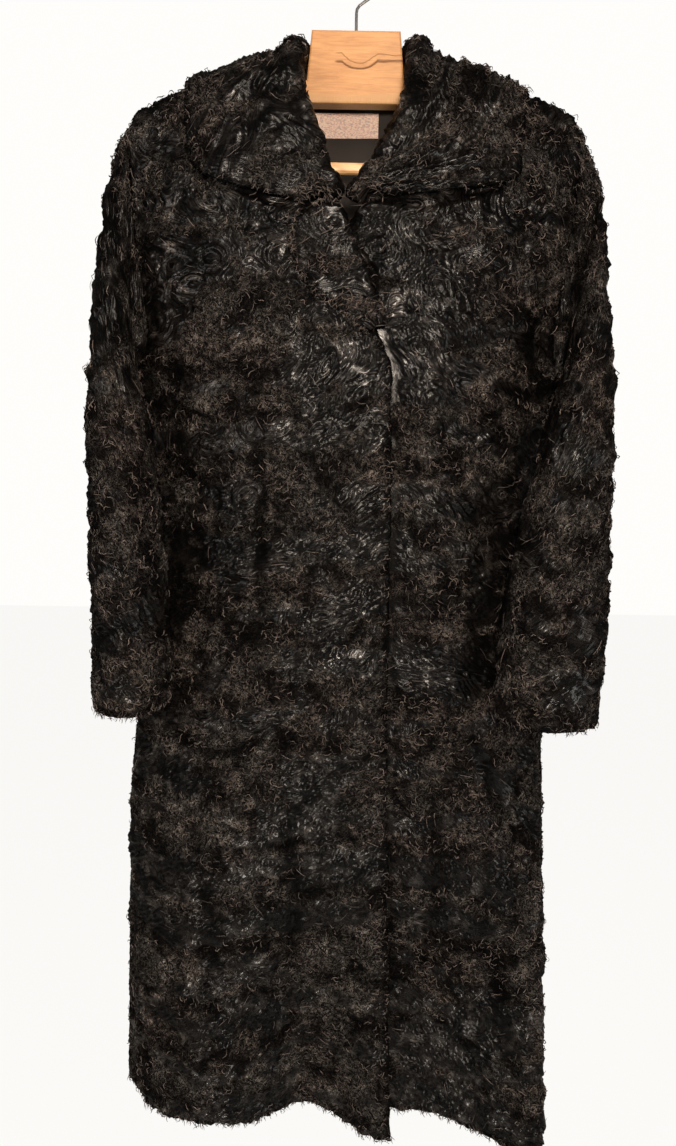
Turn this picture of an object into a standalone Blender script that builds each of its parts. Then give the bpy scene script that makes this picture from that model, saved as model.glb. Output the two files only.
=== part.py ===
# Long curly-lamb fur coat on a wooden hanger, modelled hanging by the hanger's hook.
# Metres, +Z up. The origin is the inner top of the hook. The coat's front faces -Y,
# and +X is the wearer's left. Every sewn panel is a closed wall between two grids of points.
import bmesh
import bpy
import numpy as np

# driving sizes
furWall = 0.006  # skin, lining and flattened pile together
turnedWall = 0.0045  # collar and lapel, which lie on other panels
seamGap = 0.0004  # between sewn neighbours
layGap = 0.0028  # between a panel and what lies on it
shoulderRound = 0.022  # radius over the top of the shoulder
shoulderY = 0.002  # the shoulder seam lies this far behind the hanger's middle plane
chestEase = 0.09  # how far below the shoulder the front and back reach their full depth
lapStep = 0.0086  # the under front lies this far behind the upper one
lapEase = 0.050  # width over which the under front comes forward again
hemMiddle = -1.277
hemSlope = -0.055  # the hem hangs lower towards the wearer's left
cornerDrop = 0.010  # the lapping corner hangs lower than the rest of the hem
cornerLength = 0.12  # length of hem that drops towards that corner
foldStart = -0.78  # the hem's folds fade out upwards to this height
foldLength = 0.50
shoulderEnd = -0.151  # height of the shoulder seam's outer end
underarm = -0.415
neckHalf = 0.060  # half the neck's width at the shoulder seams
neckDip = 0.035  # how far the back is hollowed at the neck
armSteps = 8  # rows of cloth down each armhole
skirtSteps = 13  # rows of cloth from the underarm to the hem
frontColumns = 13
backColumns = 21
collarColumns = 29
lapelColumns = 8
seamWall = 1.3 * furWall  # wall at a side seam, measured across the coat
pelt = (0.020, 0.017, 0.016)


def table(names, rows):
    """Rows of sizes as one array for each named column."""
    return dict(zip(names.split(), np.array(rows, dtype=float).T))


def read(sizes, column, at):
    """Smooth reading of one column against the table's first column (cubic Hermite)."""
    knots = next(iter(sizes.values()))
    values = sizes[column]
    slopes = np.gradient(values, knots)
    at = np.clip(at, knots[0], knots[-1])
    i = np.clip(np.searchsorted(knots, at) - 1, 0, len(knots) - 2)
    width = knots[i + 1] - knots[i]
    t = (at - knots[i]) / width
    start = (2 * t**3 - 3 * t**2 + 1) * values[i] + (t**3 - 2 * t**2 + t) * width * slopes[i]
    end = (3 * t**2 - 2 * t**3) * values[i + 1] + (t**3 - t**2) * width * slopes[i + 1]
    return start + end


def ease(t):
    t = np.clip(t, 0.0, 1.0)
    return t * t * (3 - 2 * t)


def mix(a, b, t):
    return a + (b - a) * t


# the body's level sections: half widths, depth of the middle front and back, depth of the
# side seam, and how square the section is; depth counts how far below the hook the level is
bodySections = table(
    "depth wearersRight wearersLeft front back seam square",
    [
        (0.10, 0.242, 0.242, -0.068, 0.066, 0.020, 4.0),
        (0.20, 0.243, 0.243, -0.070, 0.068, 0.022, 4.0),
        (0.30, 0.240, 0.240, -0.072, 0.070, 0.026, 3.6),
        (0.38, 0.234, 0.233, -0.072, 0.071, 0.034, 3.0),
        (0.44, 0.2295, 0.2270, -0.070, 0.071, 0.044, 2.6),
        (0.60, 0.231, 0.226, -0.068, 0.071, 0.046, 2.6),
        (0.74, 0.236, 0.228, -0.066, 0.071, 0.044, 2.6),
        (0.85, 0.248, 0.235, -0.062, 0.072, 0.036, 2.8),
        (1.05, 0.255, 0.242, -0.057, 0.072, 0.032, 3.0),
        (1.32, 0.260, 0.248, -0.050, 0.072, 0.030, 3.0),
    ],
)
# the top of the shoulder: height against the distance from the middle
shoulderLine = table(
    "out height",
    [
        (0.000, -0.080),
        (0.060, -0.0975),
        (0.108, -0.112),
        (0.142, -0.122),
        (0.173, -0.131),
        (0.204, -0.1405),
        (0.222, shoulderEnd),
        (0.246, -0.172),
    ],
)
# the hem's folds, in front of the side seam, against the share of the half width
hemFolds = table(
    "place upper under",
    [
        (-1.00, 0.000, 0.000),
        (-0.93, -0.030, 0.000),
        (-0.85, -0.052, 0.000),
        (-0.73, -0.068, 0.000),
        (-0.54, -0.076, 0.000),
        (-0.35, -0.060, -0.010),
        (-0.13, -0.029, -0.018),
        (0.00, -0.042, -0.022),
        (0.12, -0.062, -0.027),
        (0.24, -0.073, -0.029),
        (0.41, -0.076, -0.030),
        (0.56, -0.076, -0.044),
        (0.77, -0.070, -0.078),
        (0.90, -0.050, -0.092),
        (0.96, -0.030, -0.078),
        (1.00, 0.000, 0.000),
    ],
)
# the back hangs in two long shallow folds, drawn forwards of its flat depth
backFolds = table(
    "place depth",
    [(-1.0, 0.0), (-0.7, 0.000), (-0.4, -0.014), (0.0, 0.000), (0.35, -0.016), (0.7, 0.000), (1.0, 0.0)],
)
# how far each front's inner edge lies across the body; above the closing point it is the
# seam under the turned-out collar and lapel
frontEdges = table(
    "depth upper under",
    [
        (0.0975, -0.0600, 0.0600),
        (0.112, -0.0645, 0.0640),
        (0.142, -0.0640, 0.0610),
        (0.200, -0.0425, 0.0350),
        (0.243, -0.0270, 0.0145),
        (0.270, -0.0165, -0.0030),
        (0.320, 0.0025, -0.0270),
        (0.374, 0.0262, -0.0340),
        (0.400, 0.0370, -0.0350),
        (0.450, 0.0400, -0.0360),
        (0.750, 0.0430, -0.0360),
        (1.000, 0.0500, -0.0340),
        (1.300, 0.0600, -0.0300),
    ],
)
# the armhole's edges as shares of the half width
armhole = table(
    "depth front back",
    [
        (0.151, 0.918, 0.918),
        (0.170, 0.940, 0.944),
        (0.220, 0.948, 0.957),
        (0.300, 0.925, 0.950),
        (0.360, 0.911, 0.954),
        (0.395, 0.947, 0.977),
        (0.415, 1.000, 1.000),
        (1.400, 1.000, 1.000),
    ],
)
# sleeve sections from the shoulder to the cuff: the outermost and innermost point of each,
# and how far forward and back it reaches; distances across count outwards from the middle
rightSleeve = table(
    "row outX outDepth inX inDepth inY frontX frontY backX backY",
    [
        (1, 0.243, 0.172, 0.2345, 0.424, 0.026, 0.2350, -0.024, 0.2410, 0.060),
        (2, 0.254, 0.205, 0.2300, 0.436, 0.002, 0.2380, -0.043, 0.2490, 0.054),
        (3, 0.259, 0.262, 0.2170, 0.462, -0.022, 0.2360, -0.068, 0.2510, 0.040),
        (4, 0.263, 0.340, 0.2070, 0.500, -0.040, 0.2320, -0.088, 0.2450, 0.022),
        (5, 0.268, 0.420, 0.1985, 0.542, -0.047, 0.2330, -0.100, 0.2380, 0.010),
        (6, 0.270, 0.500, 0.1945, 0.587, -0.049, 0.2320, -0.104, 0.2330, 0.005),
        (7, 0.270, 0.570, 0.1915, 0.632, -0.050, 0.2310, -0.105, 0.2310, 0.005),
        (8, 0.269, 0.640, 0.1890, 0.680, -0.050, 0.2290, -0.105, 0.2290, 0.005),
        (9, 0.268, 0.708, 0.1880, 0.724, -0.050, 0.2280, -0.104, 0.2280, 0.004),
        (10, 0.266, 0.766, 0.1900, 0.762, -0.050, 0.2280, -0.103, 0.2280, 0.003),
    ],
)
leftSleeve = table(
    "row outX outDepth inX inDepth inY frontX frontY backX backY",
    [
        (1, 0.243, 0.171, 0.2330, 0.424, 0.025, 0.2345, -0.026, 0.2400, 0.060),
        (2, 0.254, 0.204, 0.2270, 0.436, 0.002, 0.2360, -0.048, 0.2480, 0.053),
        (3, 0.258, 0.262, 0.2120, 0.462, -0.018, 0.2320, -0.075, 0.2500, 0.036),
        (4, 0.261, 0.340, 0.1970, 0.500, -0.046, 0.2250, -0.096, 0.2420, 0.012),
        (5, 0.266, 0.420, 0.1820, 0.542, -0.060, 0.2240, -0.106, 0.2300, -0.006),
        (6, 0.268, 0.500, 0.1740, 0.587, -0.062, 0.2210, -0.110, 0.2230, -0.013),
        (7, 0.268, 0.570, 0.1670, 0.632, -0.063, 0.2180, -0.112, 0.2180, -0.014),
        (8, 0.270, 0.640, 0.1610, 0.680, -0.063, 0.2150, -0.113, 0.2150, -0.014),
        (9, 0.271, 0.712, 0.1590, 0.728, -0.063, 0.2150, -0.112, 0.2150, -0.014),
        (10, 0.268, 0.774, 0.1600, 0.768, -0.063, 0.2140, -0.110, 0.2140, -0.014),
    ],
)
# the collar's fold, from the middle of the back (0) to its front end (1): where it runs,
# which way the collar falls from it, which way it faces, the stand below it and its radius
collarFold = table(
    "along x y z fallX fallZ faceX faceY faceZ stand radius aside",
    [
        (0.00, 0.0000, 0.0469, -0.080, 0.00, -1.00, 0.00, 1.00, 0.00, 0.0225, 0.0095, 0.000),
        (0.20, 0.0340, 0.0405, -0.079, 0.05, -1.00, 0.35, 0.93, 0.00, 0.0120, 0.0095, 0.000),
        (0.38, 0.0560, 0.0220, -0.077, 0.15, -0.99, 0.90, 0.42, 0.10, 0.0070, 0.0090, 0.000),
        (0.50, 0.0605, 0.0040, -0.077, 0.20, -0.98, 0.98, 0.00, 0.20, 0.0080, 0.0085, 0.000),
        (0.62, 0.0580, -0.0170, -0.092, 0.55, -0.80, 0.70, -0.65, 0.30, 0.0025, 0.0075, 0.000),
        (0.75, 0.0535, -0.0373, -0.142, 0.98, -0.20, 0.15, -0.98, 0.10, 0.0022, 0.0068, 0.001),
        (0.88, 0.0325, -0.0536, -0.200, 0.94, -0.35, 0.05, -1.00, 0.05, 0.0022, 0.0068, 0.006),
        (1.00, 0.0165, -0.0610, -0.243, 0.90, -0.40, 0.00, -1.00, 0.00, 0.0022, 0.0068, 0.0205),
    ],
)
# the collar's outer edge: distance across, and drop below the shoulder line, which counts
# up from the back (negative) over the shoulder to the front (positive). taut is how far the
# cloth spans the hollow at the neck in a straight line from its fold to its edge
collarEdge = table(
    "along x drop footDrop aside taut",
    [
        (0.00, 0.000, -0.155, -0.030, 0.000, 0.0),
        (0.20, 0.080, -0.122, -0.022, 0.000, 0.3),
        (0.38, 0.150, -0.051, -0.008, 0.000, 0.8),
        (0.50, 0.168, 0.000, 0.000, 0.000, 0.9),
        (0.62, 0.168, 0.030, 0.010, 0.000, 0.8),
        (0.72, 0.163, 0.072, 0.036, 0.000, 0.3),
        (0.82, 0.149, 0.107, 0.076, -0.004, 0.0),
        (0.91, 0.100, 0.137, 0.122, 0.008, 0.0),
        (1.00, 0.053, 0.163, 0.156, 0.023, 0.0),
    ],
)
# the lapel, from the collar's end to the closing point: its fold and its outer edge
lapelShape = table(
    "along foldX foldDepth edgeX edgeDepth",
    [
        (0.00, -0.0150, 0.2465, -0.0530, 0.2610),
        (0.25, -0.0030, 0.2780, -0.0610, 0.2920),
        (0.50, 0.0105, 0.3110, -0.0440, 0.3300),
        (0.75, 0.0225, 0.3400, -0.0100, 0.3560),
        (1.00, 0.0330, 0.3660, 0.0130, 0.3740),
    ],
)
# how the lapel turns over: which way it falls, the roll's radius, the stand left behind it
# and its distance in front of the front's edge
lapelRoll = dict(fall=(-0.926, 0.0, -0.378), radius=0.0068, stand=0.0015, clear=0.0012)
# columns of cloth crowd towards the side seams by these powers
crowding = dict(front=1.3, back=1.15)


def shoulderHeight(x):
    return read(shoulderLine, "height", np.abs(x))


def skinY(x, z, side, out=0.0, under=False):
    """Where the coat's outer surface lies front to back at (x, z). side is -1 for the front
    and 1 for the back, and out moves the surface outwards. A squared arch from side seam to
    side seam carries the folds of the hem, and a round of the shoulder's radius closes it."""
    depth = -z
    half = np.where(x < 0, read(bodySections, "wearersRight", depth), read(bodySections, "wearersLeft", depth))
    half = half + out
    seam = read(bodySections, "seam", depth)
    square = read(bodySections, "square", depth)
    middle = read(bodySections, "front" if side < 0 else "back", depth) + side * out
    share = np.clip(np.abs(x) / half, 0.0, 1.0)
    arch = (1 - share**square) ** 0.7
    flat = mix(seam, middle, arch)
    fade = ease((foldStart - z) / foldLength)
    if side < 0:
        folds = read(hemFolds, "under" if under else "upper", x / half)
        if under:
            edge = read(frontEdges, "upper", depth)
            step = (1 - ease((x - edge) / lapEase)) * ease((-0.20 - z) / 0.05)
            flat = flat + lapStep * step
        flat = mix(flat, seam + folds - out * arch, fade)
    else:
        flat = flat + read(backFolds, "depth", x / half) * fade
    top = shoulderRound + out
    drop = np.maximum(shoulderHeight(x) + out - z, 0.0)
    cap = np.sqrt(1 - (1 - np.minimum(drop / top, 1.0)) ** 2)
    reach = 1 - np.exp(-drop / chestEase)
    return shoulderY + side * top * cap + (flat - shoulderY - side * top) * reach


def skinAt(x, drop, out):
    """The point on the coat's surface at a signed drop below the shoulder line: positive
    drops lie in front and negative ones behind."""
    z = shoulderHeight(x) + out - np.abs(drop)
    y = np.where(drop > 0, skinY(x, z, -1, out), skinY(x, z, 1, out))
    return np.stack([x, y, z], axis=-1)


def unit(v):
    return v / np.maximum(np.linalg.norm(v, axis=-1, keepdims=True), 1e-9)


def faces(grid, wrap=False):
    """Unit normals of a grid of points, from the differences along its rows and columns."""
    if wrap:
        across = np.roll(grid, -1, axis=1) - np.roll(grid, 1, axis=1)
    else:
        across = np.gradient(grid, axis=1)
    return unit(np.cross(np.gradient(grid, axis=0), across))


def rowShares(levels):
    return (levels - levels[0]) / (levels[-1] - levels[0])


def sideLevels():
    """Heights of the rows at the side: down the armhole, then down the side seam."""
    arm = np.linspace(0.0, 1.0, armSteps + 1) ** 1.6
    skirt = np.linspace(0.0, 1.0, skirtSteps + 1)
    return np.concatenate([mix(shoulderEnd, underarm, arm), mix(underarm, hemMiddle, skirt)[1:]])


def sideX(z, sign, part):
    half = read(bodySections, "wearersRight" if sign < 0 else "wearersLeft", -z)
    return half * np.minimum(read(armhole, part, -z), 1.0)


def hemHeight(x):
    return hemMiddle + hemSlope * x


def buildWall(name, outer, inner, wrap, paint):
    """A closed body between two grids of points with the same rows and columns."""
    rows, columns = outer.shape[:2]
    mesh = bmesh.new()
    sheets = []
    for grid in (outer, inner):
        sheets.append([[mesh.verts.new(grid[i, j]) for j in range(columns)] for i in range(rows)])
    last = columns if wrap else columns - 1
    for i in range(rows - 1):
        for j in range(last):
            k = (j + 1) % columns
            for sheet in sheets:
                mesh.faces.new((sheet[i][j], sheet[i][k], sheet[i + 1][k], sheet[i + 1][j]))
    outerSheet, innerSheet = sheets
    for i in (0, rows - 1):
        for j in range(last):
            k = (j + 1) % columns
            mesh.faces.new((outerSheet[i][j], outerSheet[i][k], innerSheet[i][k], innerSheet[i][j]))
    if not wrap:
        for j in (0, columns - 1):
            for i in range(rows - 1):
                mesh.faces.new((outerSheet[i][j], outerSheet[i + 1][j], innerSheet[i + 1][j], innerSheet[i][j]))
    bmesh.ops.triangulate(mesh, faces=mesh.faces[:], quad_method="SHORT_EDGE")
    bmesh.ops.recalc_face_normals(mesh, faces=mesh.faces[:])
    data = bpy.data.meshes.new(name)
    mesh.to_mesh(data)
    mesh.free()
    data.shade_smooth()
    data.set_sharp_from_angle(angle=0.9)
    return addObject(name, data, paint)


def addObject(name, data, paint):
    thing = bpy.data.objects.new(name, data)
    collection.objects.link(thing)
    data.materials.append(makePaint(name, *paint))
    return thing


def makePaint(name, colour, roughness, metallic=0.0):
    paint = bpy.data.materials.new(name + "_finish")
    paint.use_nodes = True
    shader = paint.node_tree.nodes["Principled BSDF"]
    shader.inputs["Base Color"].default_value = (*colour, 1.0)
    shader.inputs["Roughness"].default_value = roughness
    shader.inputs["Metallic"].default_value = metallic
    return paint


furPaint = (pelt, 0.55)


def buildFront(name, under):
    """One front: from its inner edge across to the armhole and side seam, and from the
    shoulder seam down to the hem."""
    sign = 1 if under else -1
    levels = sideLevels()
    down = rowShares(levels)[:, None]
    over = 1 - (1 - np.linspace(0.0, 1.0, frontColumns)[None, :]) ** crowding["front"]
    topX = sign * mix(neckHalf, sideX(shoulderEnd, sign, "front"), over)
    topZ = shoulderHeight(topX)
    edgeZ = mix(topZ[:, :1], hemMiddle, down)
    edgeX = read(frontEdges, "under" if under else "upper", -edgeZ)
    x = mix(edgeX, sign * sideX(levels, sign, "front")[:, None], over)
    hem = hemHeight(x)
    if not under:
        hem = hem - cornerDrop * ease(1 - (edgeX - x) / cornerLength)
    z = mix(topZ, hem, down)
    x[1:] = mix(edgeX, sign * sideX(z, sign, "front"), over)[1:]
    y = skinY(x, z, -1, 0.0, under)
    outer = np.stack([x, y, z], axis=-1)
    inward = faces(outer) * (1 if faces(outer)[5, 5, 1] > 0 else -1) * furWall
    inward[0] = (0.0, 0.0, -furWall)
    inward[armSteps:, -1] = (-sign * seamWall, 0.0, 0.0)
    outer[0, :, 1] -= seamGap / 2
    outer[armSteps:, -1, 1] -= seamGap / 2
    return buildWall(name, outer, outer + inward, False, furPaint)


def buildBack():
    """The back: one panel from side seam to side seam, hollowed at the neck and armholes."""
    levels = sideLevels()
    down = rowShares(levels)[:, None]
    t = np.linspace(-1.0, 1.0, backColumns)[None, :]
    over = np.sign(t) * (1 - (1 - np.abs(t)) ** crowding["back"])
    half = np.where(over < 0, sideX(levels, -1, "back")[:, None], sideX(levels, 1, "back")[:, None])
    x = over * half
    topZ = shoulderHeight(x[:1]) - neckDip * (1 - ease(np.abs(x[:1]) / neckHalf))
    z = mix(topZ, hemHeight(x), down)
    x[1:] = (over * np.where(over < 0, sideX(z, -1, "back"), sideX(z, 1, "back")))[1:]
    y = skinY(x, z, 1)
    outer = np.stack([x, y, z], axis=-1)
    inward = faces(outer) * (-1 if faces(outer)[5, 5, 1] > 0 else 1) * furWall
    onShoulder = np.abs(x[0]) > neckHalf - 0.001
    inward[0, onShoulder] = (0.0, 0.0, -furWall)
    inward[armSteps:, 0] = (seamWall, 0.0, 0.0)
    inward[armSteps:, -1] = (-seamWall, 0.0, 0.0)
    outer[0, :, 1] += seamGap / 2
    outer[armSteps:, (0, -1), 1] += seamGap / 2
    return buildWall("back", outer, outer + inward, False, furPaint)


def armholeLoop(sign):
    """The armhole as a ring: down the front's edge to the underarm and up the back's."""
    levels = sideLevels()[: armSteps + 1]
    front = np.stack([sideX(levels, sign, "front"), levels], axis=-1)
    back = np.stack([sideX(levels, sign, "back"), levels], axis=-1)[-2:0:-1]
    frontY = skinY(sign * front[:, 0], front[:, 1], -1)
    backY = skinY(sign * back[:, 0], back[:, 1], 1)
    x = sign * (np.concatenate([front[:, 0], back[:, 0]]) + 2 * seamGap)
    return np.stack([x, np.concatenate([frontY, backY]), np.concatenate([front[:, 1], back[:, 1]])], axis=-1)


def sleeveRing(sizes, row, sign, turn):
    """A closed smooth ring through an outermost, a foremost, an innermost and a hindmost
    point: their mean, two half diameters and a second harmonic."""
    outX, outZ = read(sizes, "outX", row), -read(sizes, "outDepth", row)
    inX, inZ = read(sizes, "inX", row), -read(sizes, "inDepth", row)
    frontY, backY = read(sizes, "frontY", row), read(sizes, "backY", row)
    middle = (frontY + backY) / 2
    out = np.array([sign * outX, middle, outZ])
    inside = np.array([sign * inX, read(sizes, "inY", row), inZ])
    front = np.array([sign * read(sizes, "frontX", row), frontY, (outZ + inZ) / 2])
    back = np.array([sign * read(sizes, "backX", row), backY, (outZ + inZ) / 2])
    centre = (out + inside + front + back) / 4
    ring = centre + np.cos(turn) * (out - inside) / 2 + np.sin(turn) * (front - back) / 2
    return ring + np.cos(2 * turn) * (out + inside - front - back) / 4


def buildSleeve(name, sizes, sign):
    """A tube that fans out from the armhole and hangs in front of the side seam."""
    loop = armholeLoop(sign)
    turn = np.linspace(0.0, 2 * np.pi, len(loop), endpoint=False)[:, None]
    rings = [loop] + [sleeveRing(sizes, row, sign, turn) for row in sizes["row"]]
    outer = np.stack(rings)
    centres = outer.mean(axis=1, keepdims=True)
    inward = faces(outer, wrap=True)
    if np.sum(inward[6] * (centres[6] - outer[6])) < 0:
        inward = -inward
    inward[0, :, 0] = 0.0
    inward = unit(inward) * furWall
    return buildWall(name, outer, outer + inward, True, furPaint)


def turnedBand(name, fold, fall, face, stand, radius, reach, taut):
    """A band that turns over a fold: a stand up to the fold, half a circle round it, and the
    fall from there to the outer edge. reach(share) gives the lying part's points, and taut
    lifts them towards the straight line from the fold to the edge."""
    centre = fold + fall * radius
    columns = [centre - face * radius + fall * stand]
    for angle in np.radians((-90, -45, 0, 45)):
        columns.append(centre + radius * (np.sin(angle) * face - np.cos(angle) * fall))
    top = centre + face * radius
    columns.append(top)
    length = np.linalg.norm(reach(1.0) - top, axis=-1, keepdims=True)
    for share in (0.14, 0.30, 0.46, 0.64, 0.82, 1.0):
        free = top + fall * length * share
        point = mix(free, reach(share), ease(share / 0.5))
        spanned = np.maximum(point[:, 2], mix(top, reach(1.0), share)[:, 2])
        point[:, 2] = mix(point[:, 2], spanned, taut)
        columns.append(point)
    outer = np.stack(columns, axis=1)
    return buildWall(name, outer, outer + faces(outer) * turnedWall, False, furPaint)


def buildCollar():
    """One wide collar round the neck from front end to front end, mirrored about the
    middle of the back, with its wearer's-left end shifted to meet the other at the front."""
    t = np.linspace(-1.0, 1.0, collarColumns)
    along = np.abs(t)
    sign = np.where(t < 0, -1.0, 1.0)
    aside = np.where(t > 0, 1.0, 0.0)

    def column(sizes, name):
        return read(sizes, name, along)

    def stack(x, y, z):
        return np.stack([x, y, z], axis=-1)

    shift = aside * column(collarFold, "aside")
    foldX = sign * column(collarFold, "x") - shift
    fold = stack(foldX, column(collarFold, "y"), column(collarFold, "z"))
    fall = unit(stack(sign * column(collarFold, "fallX"), 0 * t, column(collarFold, "fallZ")))
    face = stack(sign * column(collarFold, "faceX"), column(collarFold, "faceY"), column(collarFold, "faceZ"))
    face = unit(face - fall * np.sum(face * fall, axis=-1, keepdims=True))
    edgeX = sign * column(collarEdge, "x") - aside * column(collarEdge, "aside")
    edgeDrop, footDrop = column(collarEdge, "drop"), column(collarEdge, "footDrop")
    lift = turnedWall + layGap

    def reach(share):
        return skinAt(mix(foldX, edgeX, share), mix(footDrop, edgeDrop, share), lift)

    stand, radius = column(collarFold, "stand")[:, None], column(collarFold, "radius")[:, None]
    return turnedBand("collar", fold, fall, face, stand, radius, reach, column(collarEdge, "taut"))


def buildLapel():
    """The wearer's-right lapel, turned out below the collar's end down to the closing point."""
    along = np.linspace(0.0, 1.0, lapelColumns)
    foldX, foldZ = read(lapelShape, "foldX", along), -read(lapelShape, "foldDepth", along)
    edgeX, edgeZ = read(lapelShape, "edgeX", along), -read(lapelShape, "edgeDepth", along)
    radius = np.full((lapelColumns, 1), lapelRoll["radius"])
    stand = np.full((lapelColumns, 1), lapelRoll["stand"])
    fall = np.broadcast_to(unit(np.array(lapelRoll["fall"])), (lapelColumns, 3))
    face = np.broadcast_to((0.0, -1.0, 0.0), (lapelColumns, 3))
    lift = turnedWall + layGap
    foldY = skinY(foldX - lapelRoll["radius"], foldZ, -1) - lapelRoll["clear"]
    fold = np.stack([foldX, foldY, foldZ], axis=-1)

    def reach(share):
        x, z = mix(foldX, edgeX, share), mix(foldZ, edgeZ, share)
        return np.stack([x, skinY(x, z, -1, lift), z], axis=-1)

    return turnedBand("lapel_right", fold, fall, face, stand, radius, reach, 0.0)


def buildPatch(name, x, top, bottom, rows, depth, thick, paint):
    """A thin sheet on the inside of the back, its outer face at the given depth inside the
    coat's surface. It runs from top to bottom under each x."""
    z = mix(top[None, :], bottom, np.linspace(0.0, 1.0, rows)[:, None])
    xs = np.broadcast_to(x, z.shape)
    outer = np.stack([xs, skinY(xs, z, 1, -depth), z], axis=-1)
    inner = outer - np.array([0.0, thick, 0.0])
    return buildWall(name, outer, inner, False, paint)


# hanger sizes
hanger = dict(
    blockTop=-0.070,
    blockBottom=-0.140,
    topHalf=0.045,
    bottomHalf=0.051,
    thickness=0.020,
    armTip=0.204,
    tipBottom=-0.212,
    tipWidth=0.018,
    barHeight=-0.201,
    barRadius=0.006,
    wireRadius=0.0015,
    hookRadius=0.0210,
    armClear=0.0056,  # below the coat's shoulders
    edgeRound=0.002,
)
woodPaint = ((0.56, 0.36, 0.17), 0.45)
wirePaint = ((0.55, 0.54, 0.52), 0.28, 1.0)


def buildHangerBody():
    """A flat wooden outline: the neck block, the two sloping arms and their down-turned tips."""
    clear = furWall + hanger["armClear"]
    half = []
    half.append((0.0, hanger["blockTop"]))
    half.append((hanger["topHalf"], hanger["blockTop"]))
    half.append((hanger["bottomHalf"] - 0.001, -0.118))
    half.append((0.066, -0.118))
    for out in (0.090, 0.120, 0.150, 0.180, 0.196):
        half.append((out, float(shoulderHeight(out)) - clear))
    half.append((hanger["armTip"], -0.164))
    half.append((hanger["armTip"], hanger["tipBottom"]))
    half.append((hanger["armTip"] - hanger["tipWidth"], hanger["tipBottom"]))
    half.append((hanger["armTip"] - hanger["tipWidth"], -0.186))
    for out, z in ((0.150, -0.166), (0.100, -0.150), (hanger["bottomHalf"] + 0.004, hanger["blockBottom"])):
        half.append((out, z))
    half.append((0.0, hanger["blockBottom"]))
    outline = half + [(-x, z) for x, z in half[-2:0:-1]]
    curve = bpy.data.curves.new("hanger_body", "CURVE")
    curve.dimensions = "2D"
    curve.fill_mode = "BOTH"
    curve.extrude = hanger["thickness"] / 2 - hanger["edgeRound"]
    curve.bevel_depth = hanger["edgeRound"]
    curve.bevel_resolution = 1
    curve.offset = -hanger["edgeRound"]
    spline = curve.splines.new("POLY")
    spline.points.add(len(outline) - 1)
    for point, (x, z) in zip(spline.points, outline):
        point.co = (x, z, 0.0, 1.0)
    spline.use_cyclic_u = True
    body = addObject("hanger_body", curve, woodPaint)
    body.rotation_euler = (np.pi / 2, 0.0, 0.0)
    return body


def addRod(name, points, radius, paint, resolution=2):
    curve = bpy.data.curves.new(name, "CURVE")
    curve.dimensions = "3D"
    curve.bevel_depth = radius
    curve.bevel_resolution = resolution
    curve.use_fill_caps = True
    spline = curve.splines.new("POLY")
    spline.points.add(len(points) - 1)
    for point, place in zip(spline.points, points):
        point.co = (*place, 1.0)
    return addObject(name, curve, paint)


def buildBar():
    reach = hanger["armTip"] - hanger["tipWidth"] - 0.0007
    z = hanger["barHeight"]
    return addRod("trouser_bar", [(-reach, 0.0, z), (reach, 0.0, z)], hanger["barRadius"], woodPaint, 4)


def buildHook():
    """A straight shank, a short bend aside and a round hook over the origin."""
    radius = hanger["hookRadius"]
    centreZ = hanger["wireRadius"] - radius
    points = [(0.0, 0.0, hanger["blockTop"] + seamGap), (0.0, 0.0, -0.0500), (0.0006, 0.0, -0.0462)]
    points.append((0.0030, 0.0, -0.0428))
    for degrees in range(-64, 206, 15):
        angle = np.radians(degrees)
        points.append((radius * np.cos(angle), 0.0, centreZ + radius * np.sin(angle)))
    return addRod("hook", points, hanger["wireRadius"], wirePaint)


for old in list(bpy.data.objects):
    bpy.data.objects.remove(old)
collection = bpy.data.collections.new("fur_coat")
bpy.context.scene.collection.children.link(collection)

buildBack()
buildFront("front_right", under=False)
buildFront("front_left", under=True)
buildSleeve("sleeve_right", rightSleeve, -1)
buildSleeve("sleeve_left", leftSleeve, 1)
buildCollar()
buildLapel()
liningDepth = furWall + 0.0012
liningWall = 0.0010
labelWall = 0.0006
liningX = np.linspace(-0.120, 0.120, 11)
liningTop = np.minimum(shoulderHeight(liningX) - 0.032, -0.124)
liningPaint = ((0.050, 0.047, 0.048), 0.40)
buildPatch("lining_back", liningX, liningTop, -0.420, 8, liningDepth, liningWall, liningPaint)
labelX = np.linspace(-0.050, 0.026, 5)
labelTop = np.full(5, -0.136)
labelPaint = ((0.80, 0.72, 0.66), 0.60)
labelDepth = liningDepth + liningWall + 2 * seamGap
buildPatch("label", labelX, labelTop, -0.1595, 3, labelDepth, labelWall, labelPaint)
buildHangerBody()
buildBar()
buildHook()
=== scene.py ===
# A long curly-lamb fur coat on its wooden hanger: the looks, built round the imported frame.
# Metres, +Z up. The hook's inner top is the origin, and the coat's front faces -Y.
import math

import bpy
import numpy as np
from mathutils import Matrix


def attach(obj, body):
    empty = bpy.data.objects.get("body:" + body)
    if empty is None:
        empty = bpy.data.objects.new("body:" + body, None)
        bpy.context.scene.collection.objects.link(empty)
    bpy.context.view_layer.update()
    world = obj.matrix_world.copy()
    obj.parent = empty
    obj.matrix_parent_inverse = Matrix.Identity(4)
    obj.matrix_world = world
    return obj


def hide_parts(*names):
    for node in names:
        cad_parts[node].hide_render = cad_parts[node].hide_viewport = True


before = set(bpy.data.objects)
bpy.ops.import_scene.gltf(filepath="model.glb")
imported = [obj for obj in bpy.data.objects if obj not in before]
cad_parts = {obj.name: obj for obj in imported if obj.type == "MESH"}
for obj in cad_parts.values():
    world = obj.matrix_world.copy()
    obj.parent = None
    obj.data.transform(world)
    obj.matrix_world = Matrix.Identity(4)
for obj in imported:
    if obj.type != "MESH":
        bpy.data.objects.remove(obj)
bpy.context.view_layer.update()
print("frame loaded:", len(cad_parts), "nodes")


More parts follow.
